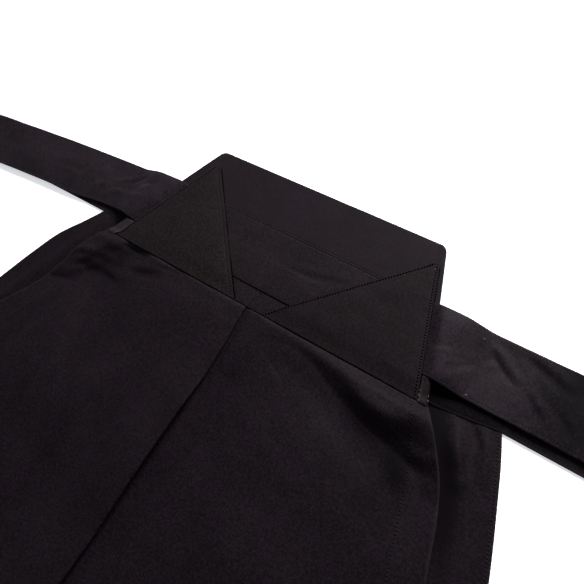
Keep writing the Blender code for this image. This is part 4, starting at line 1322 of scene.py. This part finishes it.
def flap(side, sign):
    """Columns run from the inner edge to the outer one, each a fixed distance from its edge."""
    begin, end, point, high = FLAPS[side]
    low_steps = np.concatenate([rim(CLOTH), [0.0009, 0.0014, 0.0020]])
    y = [low_steps, 0.002 + (high - 0.0034) * share(84)[:-1], high - low_steps[-2::-1]]
    y = np.concatenate(y)[::-1, None]
    inner, outer = flap_edges(side, y)
    width = outer - inner
    lean = {"inner": 1.0 / math.hypot(1.0, (point - begin) / high),
            "outer": 1.0 / math.hypot(1.0, (end - point) / high)}
    most = width * FLAP_STEPS / (2.2 * FLAP_STEPS[-1])
    near, far = (np.minimum(FLAP_STEPS / lean[edge], most) for edge in lean)
    centre = inner + near[:, -1:] + (width - near[:, -1:] - far[:, -1:]) * share(60)[:-1]
    out = beside(inner + near, centre, outer - far[:, ::-1])
    x = sign * out
    y = y + 0.0 * x
    from_edge = {"inner": (out - inner) * lean["inner"], "outer": (outer - out) * lean["outer"]}
    rows = [(edge, offset, kind) for edge, lines in FLAP_SEAMS[side].items() for offset, kind in lines]
    seam, along = np.full(x.shape, NO_SEAM), np.zeros(x.shape)
    for edge, offset, kind in rows:
        away_from = from_edge[edge] - offset
        nearer = np.abs(away_from) < np.abs(seam)
        seam = np.where(nearer, away_from, seam)
        along = np.where(nearer, 0.25 * STITCH_PITCH if kind == "cord" else y / lean[edge], along)
    drop = (FLAP_BOTTOM - COVER_BOTTOM - 0.0004) * (1.0 - smooth(y, 0.001, 0.014))
    rise = np.minimum(from_edge["inner"], from_edge["outer"])
    puffed = 0.00055 * smooth(rise, 0.0, 0.012) - 0.00030
    pucker = np.sin(2.0 * math.pi * along / 0.0075 + 1.3 * np.sin(along * 310.0)) * 0.00005
    pucker = pucker * np.exp(-(seam / 0.0016)**2)
    soft = waves(x, y, 0.022, 0.00018, seed=51 + int(sign)) + relief(x, y, FLAP_CREASES[side])
    dip = -0.00022 * np.exp(-(seam / 0.00045)**2)
    plan = stacked(x, y, FLAP_BOTTOM - drop + 0.5 * CLOTH)
    middle = plan.copy()
    middle[..., 2] += puffed + pucker + dip + soft * smooth(rise, 0.0, 0.006)
    uv = stacked(x * 0.55 - y * 0.83, x * 0.83 + y * 0.55)
    # Painted highlight on the outer edge; edge_wear_and_light below zero paints the flap's edges darker as
    # shade.
    wear_and_painted_light = FLAP_EDGE_HIGHLIGHT[side] * np.exp(-((from_edge["outer"] - 0.0002) / 0.0007)**2)
    piece, upper, normal = cloth_shell("board_flap_cloth_" + side, middle, CLOTH, flap_twill[side], uv,
                                       0.75 * seam, along, wear_and_painted_light, edge_wear_and_light=-0.10, order=ORDERS[side])
    lay("board_flap_" + side)
    for edge, offset, kind in rows:
        column = int(np.argmin(np.abs(FLAP_STEPS - offset)))
        column = column if edge == "inner" else -1 - column
        sew(upper[5:-3, column], normal[5:-3, column], y[5:-3, column] / lean[edge], kind)


for flap_side, flap_sign in SIDES:
    flap(flap_side, flap_sign)

# %% The corners of the board
TAB_WALL = 0.0007
TAB_HIGH = 0.0165
TAB_LOW = 0.0016
# Painted light on the corner tabs: the left painted lighter as a highlight, the right darker as shade; their
# edges also get a strong rubbed and painted highlight.
TAB_PAINTED_LIGHT = {"left": 0.75, "right": -0.12}


def corner_tab(side, sign):
    """The wrapping's turned corner beside a flap: it covers the margin and hangs down the wall."""
    near = rim(TAB_WALL)
    high = TAB_HIGH + TAB_LOW
    rise = np.concatenate([near, 0.0008 + (high - 0.0016) * share(24)[:-1], high - near[::-1]])
    y = rise[::-1, None] - TAB_LOW
    half = board_half_width(y)
    begin = flap_edges(side, y)[1] + 0.0005 - half
    q = beside(begin + near, begin + near[-1] + (WRAP - 2.0 * near[-1] - begin) * share(26)[:-1],
               WRAP - near[::-1] + 0.0 * begin)
    out, down = over_edge(q)
    x = sign * (half + out)
    plan = stacked(x, y, COVER_BOTTOM + 0.5 * TAB_WALL - down)
    rolled = 0.0016 * smooth(-y, -0.0050, -0.0005) * np.sqrt(1.0 - np.clip(-y / TAB_LOW, 0.0, 1.0)**2)
    bumps = np.abs(waves(x, y + down, 0.006, 0.00032, seed=61 + int(sign))) + 0.0001
    middle = plan + stacked(sign * 0.0002 * smooth(down, 0.0, 0.001), 0.0, bumps + rolled)
    piece, _, _ = cloth_shell("board_corner_" + side, middle, TAB_WALL, board_twill, stacked(half + q, y),
                              q - begin + 0.0009, y, TAB_PAINTED_LIGHT[side], edge_wear_and_light=0.9, order=ORDERS[side])


for tab_side, tab_sign in SIDES:
    corner_tab(tab_side, tab_sign)
stitch_mesh("stitches_of_the_board", black_thread)

# %% [markdown]
# ## The straps
#
# A strap is a long flattened tube. The back straps leave the board from under the flaps, the
# front ones run on from the waistband, and each is turned once so that it lies beside the legs.
# To fold a flat strip over a line, the cloth past the line rolls round a small half circle and
# lies back on itself, which keeps every length. Handling has left the straps full of
# short slanting creases.

# %% Folding a strip over a line
FOLD_RADIUS = 0.5 * (STRAP_WALL + SEAM_GAP)


def unit(vector):
    vector = np.asarray(vector, float)
    return vector / np.hypot(*vector)


def turned(x, y, z, point, normal, upwards):
    """q is how far a point lies past the line: it rolls by q / radius, and past a half turn it
    comes back by q - pi * radius."""
    q = (x - point[0]) * normal[0] + (y - point[1]) * normal[1]
    angle = np.clip(q, 0.0, math.pi * FOLD_RADIUS) / FOLD_RADIUS
    past = np.maximum(q - math.pi * FOLD_RADIUS, 0.0)
    reach = (FOLD_RADIUS - upwards * z) * np.sin(angle) - past
    beyond = q > 0.0
    new_q = np.where(beyond, reach, q)
    rise = upwards * (FOLD_RADIUS - (FOLD_RADIUS - upwards * z) * np.cos(angle))
    return x + (new_q - q) * normal[0], y + (new_q - q) * normal[1], np.where(beyond, rise, z)


WAIST_STRETCH = 0.150


def strap_rows(length, width, folds, spacing):
    """Rows along a strap as (place, slant): level rows, and fine rows along each fold."""
    rows = [(place, 0.0) for place in (*rim(STRAP_WALL), *(length - rim(STRAP_WALL)))]
    marks = [0.001]
    for at, slant in folds:
        lead = 0.62 * width * abs(slant) + 0.004
        roll = np.linspace(0.0, math.pi * FOLD_RADIUS, 9) * math.hypot(1.0, slant)
        rows += [(at + step, slant) for step in roll]
        marks += [at - lead, at + roll[-1] + lead]
    marks.append(length - 0.001)
    for start, end in zip(marks[0::2], marks[1::2]):
        if start < WAIST_STRETCH < end:
            rows += [(place, 0.0) for place in np.arange(start, WAIST_STRETCH, spacing)]
            start = WAIST_STRETCH
        count = max(2, int(round((end - start) / 0.0045)) + 1)
        rows += [(place, 0.0) for place in np.linspace(start, end, count)]
    return np.array(sorted(rows))


STRAP_FOLDS = [
    step([156, 54.8, 160.6, 52.8, 164, 50.1, 168.9, 46.7, 175.8, 42.6, 183, 39.2], 2.2, 2.8),
    step([164, 63.6, 174.6, 62.5, 179.7, 61.8, 188, 59.2, 199.5, 54.8, 212, 49.5], 2.6, 4.8),
    step([155, 59.2, 164.1, 56.8, 170.3, 54.1, 176.2, 49.3, 182.5, 44.5], -1.2, 3),
    step([186, 40, 194.5, 33.9, 199.3, 29.8, 205, 23], 1.3, 2.8),
    step([196, 40, 205.2, 33, 210, 25], -0.8, 3),
    step([208, 38.5, 215.3, 31.8, 220, 24], 1, 3),
    step([138.5, 22.8, 145.3, 28.9, 149.5, 33.9, 156.5, 41], -1.2, 4),
    step([124, 34.5, 133.1, 37.7, 138, 39], -0.6, 2),
    step([136, 30.8, 143, 35.5, 150, 40], -0.5, 1.8),
    step([157, 40, 160.4, 44.6, 163.5, 49], -0.8, 3),
    crease([220, 59, 230, 50, 236, 40], (0.3, 1.6, 0.6), 6, 5),
    crease([240, 30, 256, 42, 262, 56], (0.2, 1.4, 0.3), 5, 7),
    crease([275, 56, 292, 46, 300, 28], (0.2, 1.2, 0.3), 6, 4),
    step([-173, 38.5, -167, 43.2, -162.2, 46.7, -156.7, 49.6, -151, 53.5, -145, 57.5], 1.3, 2.8),
    step([-159, 41.5, -155, 44.5, -150.6, 48.4, -144, 53.5], -0.6, 2),
    step([-145, 45, -138.2, 47.8, -131, 50], -0.9, 3),
    crease([-179, 22.5, -172.7, 28.1, -169.6, 32.1, -165.9, 35.3, -161.3, 36.1, -154, 35.4],
           (0.2, 0.9, 0.2), 1.4, 3.4),
    crease([-154.5, 35.8, -151.2, 36.6, -146.1, 36.8, -141.2, 37, -132, 39], (0.2, 0.8, 0.2), 1.4, 3.4),
    crease([-191.5, 21, -190.6, 27.4, -187.9, 31.8, -184.2, 35.2, -179.3, 35.9, -173, 35.5],
           (0.2, 0.7, 0.2), 1.4, 3.4),
    crease([-240, 30.2, -226.7, 31.5, -218.4, 32, -206, 32.6], (0.2, 0.7, 0.2), 2.2, 5),
    crease([-200, 50, -224, 43, -250, 38], (0.2, 0.8, 0.4), 6, 8),
    crease([-240, 20, -265, 26, -290, 24], (0.2, 0.8, 0.2), 5, 8),
]


def along_creases(length, width, seed):
    """Slanting creases for the stretches beyond the waist, in (along, across) of the strap."""
    chance = np.random.default_rng(seed)
    width = 1000.0 * width
    made = []
    for middle in 1000.0 * np.arange(0.10, length - 0.05, 0.075):
        at, lean, tall, reach = chance.uniform((-20, -20, 0.4, 0.25), (20, 20, 1.0, 0.50))
        at = middle + at
        made.append(crease([at - lean, -reach * width, at, 0.1 * reach * width, at + lean, reach * width],
                           (0.1, tall, 0.1), 3.5 + 4.0 * tall, 6.0 + 3.0 * tall))
    return made


STRAP_SEAM = 0.0022
# Painted shade on the back straps near the flaps.
STRAP_PAINTED_SHADE = [
    crease([-160, 55, -150, 56, -140, 57.2, -128, 60], (-0.1, -0.6, -0.2), 6, 6),
    crease([160, 56, 170, 50, 180, 43], (-0.05, -0.2, -0.05), 6, 6),
]
NO_CHANGE = table(-1000, 0, 1000, 0)
LEFT_SWAY = table(-240, 0, -200, 0, -181, 1.6, -166, 2.6, -152, 2.4, -141, 1, -130, -1.2, -118, -1.4,
                  -90, -1.4)
# Painted shade: along the back right strap towards its far end, and on the right front strap near the waist
# in the back strap's shadow, lighter again farther out.
RIGHT_SHADE = table(0, 0, 160, 0, 178, 0, 192, -500, 205, -900, 225, -1000, 250, -400, 280, 0, 300, 0,
                    1000, 0)
FRONT_SHADE = table(0, -1000, 130, -1000, 150, -800, 166, -200, 180, 50, 200, 200, 235, 300, 270, 420,
                    300, 420, 1000, 420)


def strap(kind, side, start, heading, corner, length, height, soft, seed, spacing, bow=0.0, back_at=None,
          wear_and_painted_light=0.0, deep=0.0, shaded=NO_CHANGE, sway=NO_CHANGE, fabric=strap_twill):
    """Rows over the strip, bent sideways by bow * 4s(1 - s), folded at its turns, then lifted to
    lie on what is below."""
    is_back = kind == "back"
    width = BACK_STRAP_WIDTH[side] if is_back else FRONT_BAND_WIDTH
    out = unit(heading)
    across_out = np.array([-out[1], out[0]])
    normal = unit(out - np.array([0.0, -1.0]))
    folds = [(corner, -float(normal @ across_out) / float(normal @ out))]
    folds += [(back_at, 0.0)] if back_at else []
    across = stations(width, 1.2 * spacing, STRAP_WALL, marks=[STRAP_SEAM])[None, :] - 0.5 * width
    rows = strap_rows(length, width, folds, spacing)
    place = rows[:, :1] + rows[:, 1:] * across
    across = across + 0.0 * place
    reach = np.clip(place / (corner - 0.6 * width), 0.0, 1.0)
    off = across + bow * 4.0 * reach * (1.0 - reach)
    x = start[0] + place * out[0] + off * across_out[0]
    y = start[1] + place * out[1] + off * across_out[1]
    z = np.zeros(x.shape)
    level = smooth(np.abs(place - corner), 0.020, 0.045)
    if back_at:
        x, y, z = turned(x, y, z, start + back_at * out, out, -1.0)
        level = level * smooth(np.abs(place - back_at), 0.010, 0.030)
    x, y, z = turned(x, y, z, start + corner * out, normal, 1.0)
    y = y + through(sway, x) * np.clip(0.5 - out[0] * across / width, 0.0, 1.0)**1.5
    plan = stacked(x, y, z + height(x, y))
    past_flap = np.abs(x) - flap_edges(side, np.clip(y, 0.0, 0.09))[1]
    before_turn = (1.0 - smooth(place, corner - 0.060, corner - 0.020)) * smooth(past_flap, 0.0, 0.006)
    level = level * smooth(past_flap, 0.0, 0.010) if is_back else level
    calm = 1.0 - (2.0 * across / width)**6
    handled = before_turn * calm * relief(x, y, STRAP_FOLDS)
    bumps = handled + level * relief(place, across, along_creases(length, width, seed))
    bumps = bumps + level * (waves(place, across, 0.030, 0.00030, seed) + 0.0013)
    puffed = 0.0017 * smooth(past_flap, -0.0005, 0.0085) * (1.0 - smooth(past_flap, 0.010, 0.050))
    bumps = bumps + calm * puffed if is_back else bumps
    middle = plan.copy()
    middle[..., 2] += soft * above(bumps, 0.0002)
    shown = smooth(past_flap, 0.0, 0.010)
    # The strap's own wear in blotches past the flap; painted shade under and beside the flap (deep), along
    # the shade table and from STRAP_PAINTED_SHADE; and crease tops painted lighter, their troughs darker, in
    # step with the handled relief.
    wear_and_painted_light = (wear_and_painted_light * shown * (1.0 + waves(x, y, 0.012, 0.5, seed)) - deep * (1.0 - shown)
            + through(shaded, np.abs(x)) + 180.0 * np.clip(handled, -0.0006, 0.0010)
            + before_turn * relief(x, y, STRAP_PAINTED_SHADE, unit=1.0))
    piece, _, _ = cloth_shell(f"strap_{kind}_{side}", middle, STRAP_WALL, fabric, stacked(across, place),
                              0.5 * width - STRAP_SEAM - np.abs(across), place, wear_and_painted_light)
    lay(f"{kind}_strap_{side}")


def settle(level, y, edge):
    """Height of a strap's middle: `level` at the waist, down on the floor beside the legs."""
    floor_level = 0.5 * STRAP_WALL - 2.0 * FOLD_RADIUS
    return level + (floor_level - level) * smooth(edge - y, 0.008, 0.090)


def back_strap_height(x, y):
    """Over the board's side, down onto the front strap and up over that strap's corner fold."""
    out = np.abs(x)
    on_front = STRAP_WALL + 2.0 * SEAM_GAP
    over_corner = 2.0 * STRAP_WALL + 3.0 * SEAM_GAP
    bottom = (STRAP_ON_BOARD + (on_front - STRAP_ON_BOARD) * smooth(out, 0.133, 0.158)
              + (over_corner - on_front) * smooth(out, 0.300, 0.352))
    return settle(bottom + 0.5 * STRAP_WALL, y, -0.014)


def front_strap_height(x, y):
    return settle(0.5 * STRAP_WALL + 0.0 * x, y, 0.000)


half_band = 0.5 * FRONT_BAND_WIDTH
band_left, band_right = BAND_EDGE[0], BAND_EDGE[-1]
back = {"length": BACK_STRAP_LENGTH, "height": back_strap_height, "soft": 1.0, "spacing": 0.0011}
front = {"length": FRONT_STRAP_LENGTH, "height": front_strap_height, "soft": 0.12, "spacing": 0.0026}
# deep is painted shade beside the flaps; wear is the straps' own rubbed blotches.
strap("back", "left", np.array((-0.100, 0.0428)), (-1.0, -0.086), bow=-0.0045, corner=0.3615, seed=71,
      wear_and_painted_light=0.12, deep=0.3, sway=LEFT_SWAY, **back)
strap("back", "right", np.array((0.100, 0.0403)), (1.0, 0.003), corner=0.360, seed=72,
      wear_and_painted_light=0.22, deep=0.6, shaded=RIGHT_SHADE, **back)
strap("front", "left", band_left + (-4.0 * SEAM_GAP, half_band), (-1.0, -0.008), corner=0.232,
      back_at=1.140, seed=73, **front)
strap("front", "right", band_right + (SEAM_GAP, half_band), (1.0, 0.0), corner=0.212,
      back_at=1.120, seed=74, shaded=FRONT_SHADE, fabric=shaded_band_twill, **front)

# %% [markdown]
# Where the needle turned at the right tab the pale inner fibres of the thread stand out as small
# tufts, and a few specks of lint lie on the cloth beside it.

# %% Lint
LINT = {
    "board_corner_right": table(131.3, 6.6, 1.1, 132.8, 3.4, 1.3, 134.6, 0.4, 1.0, 140, 3.3, 1.5,
                                138.8, 6, 1.0, 137.2, 10, 0.8, columns=3),
    "strap_back_right": table(150.6, 57.2, 1.1, 157.4, 19, 1.3, columns=3),
    "board_flap_cloth_right": table(101.4, 85.8, 0.8, columns=3),
}


def mark_lint(name, specks):
    """Each speck sits on the cloth's vertex nearest its plan place and lies along the rows."""
    upper, normal = tops[name]
    for x, y, length in specks:
        away_from = np.hypot(upper[..., 0] - x, upper[..., 1] - y)
        row, column = np.unravel_index(np.argmin(away_from), away_from.shape)
        tangent = upper[min(row + 1, len(upper) - 1), column] - upper[max(row - 1, 0), column]
        centre = upper[row, column] + 0.0001 * normal[row, column]
        sewn_lines.append((centre[None], tangent[None], normal[row, column][None], length, 0.00028))


for lint_on, lint_specks in LINT.items():
    mark_lint(lint_on, lint_specks)
stitch_mesh("lint_of_the_board", pale_lint)
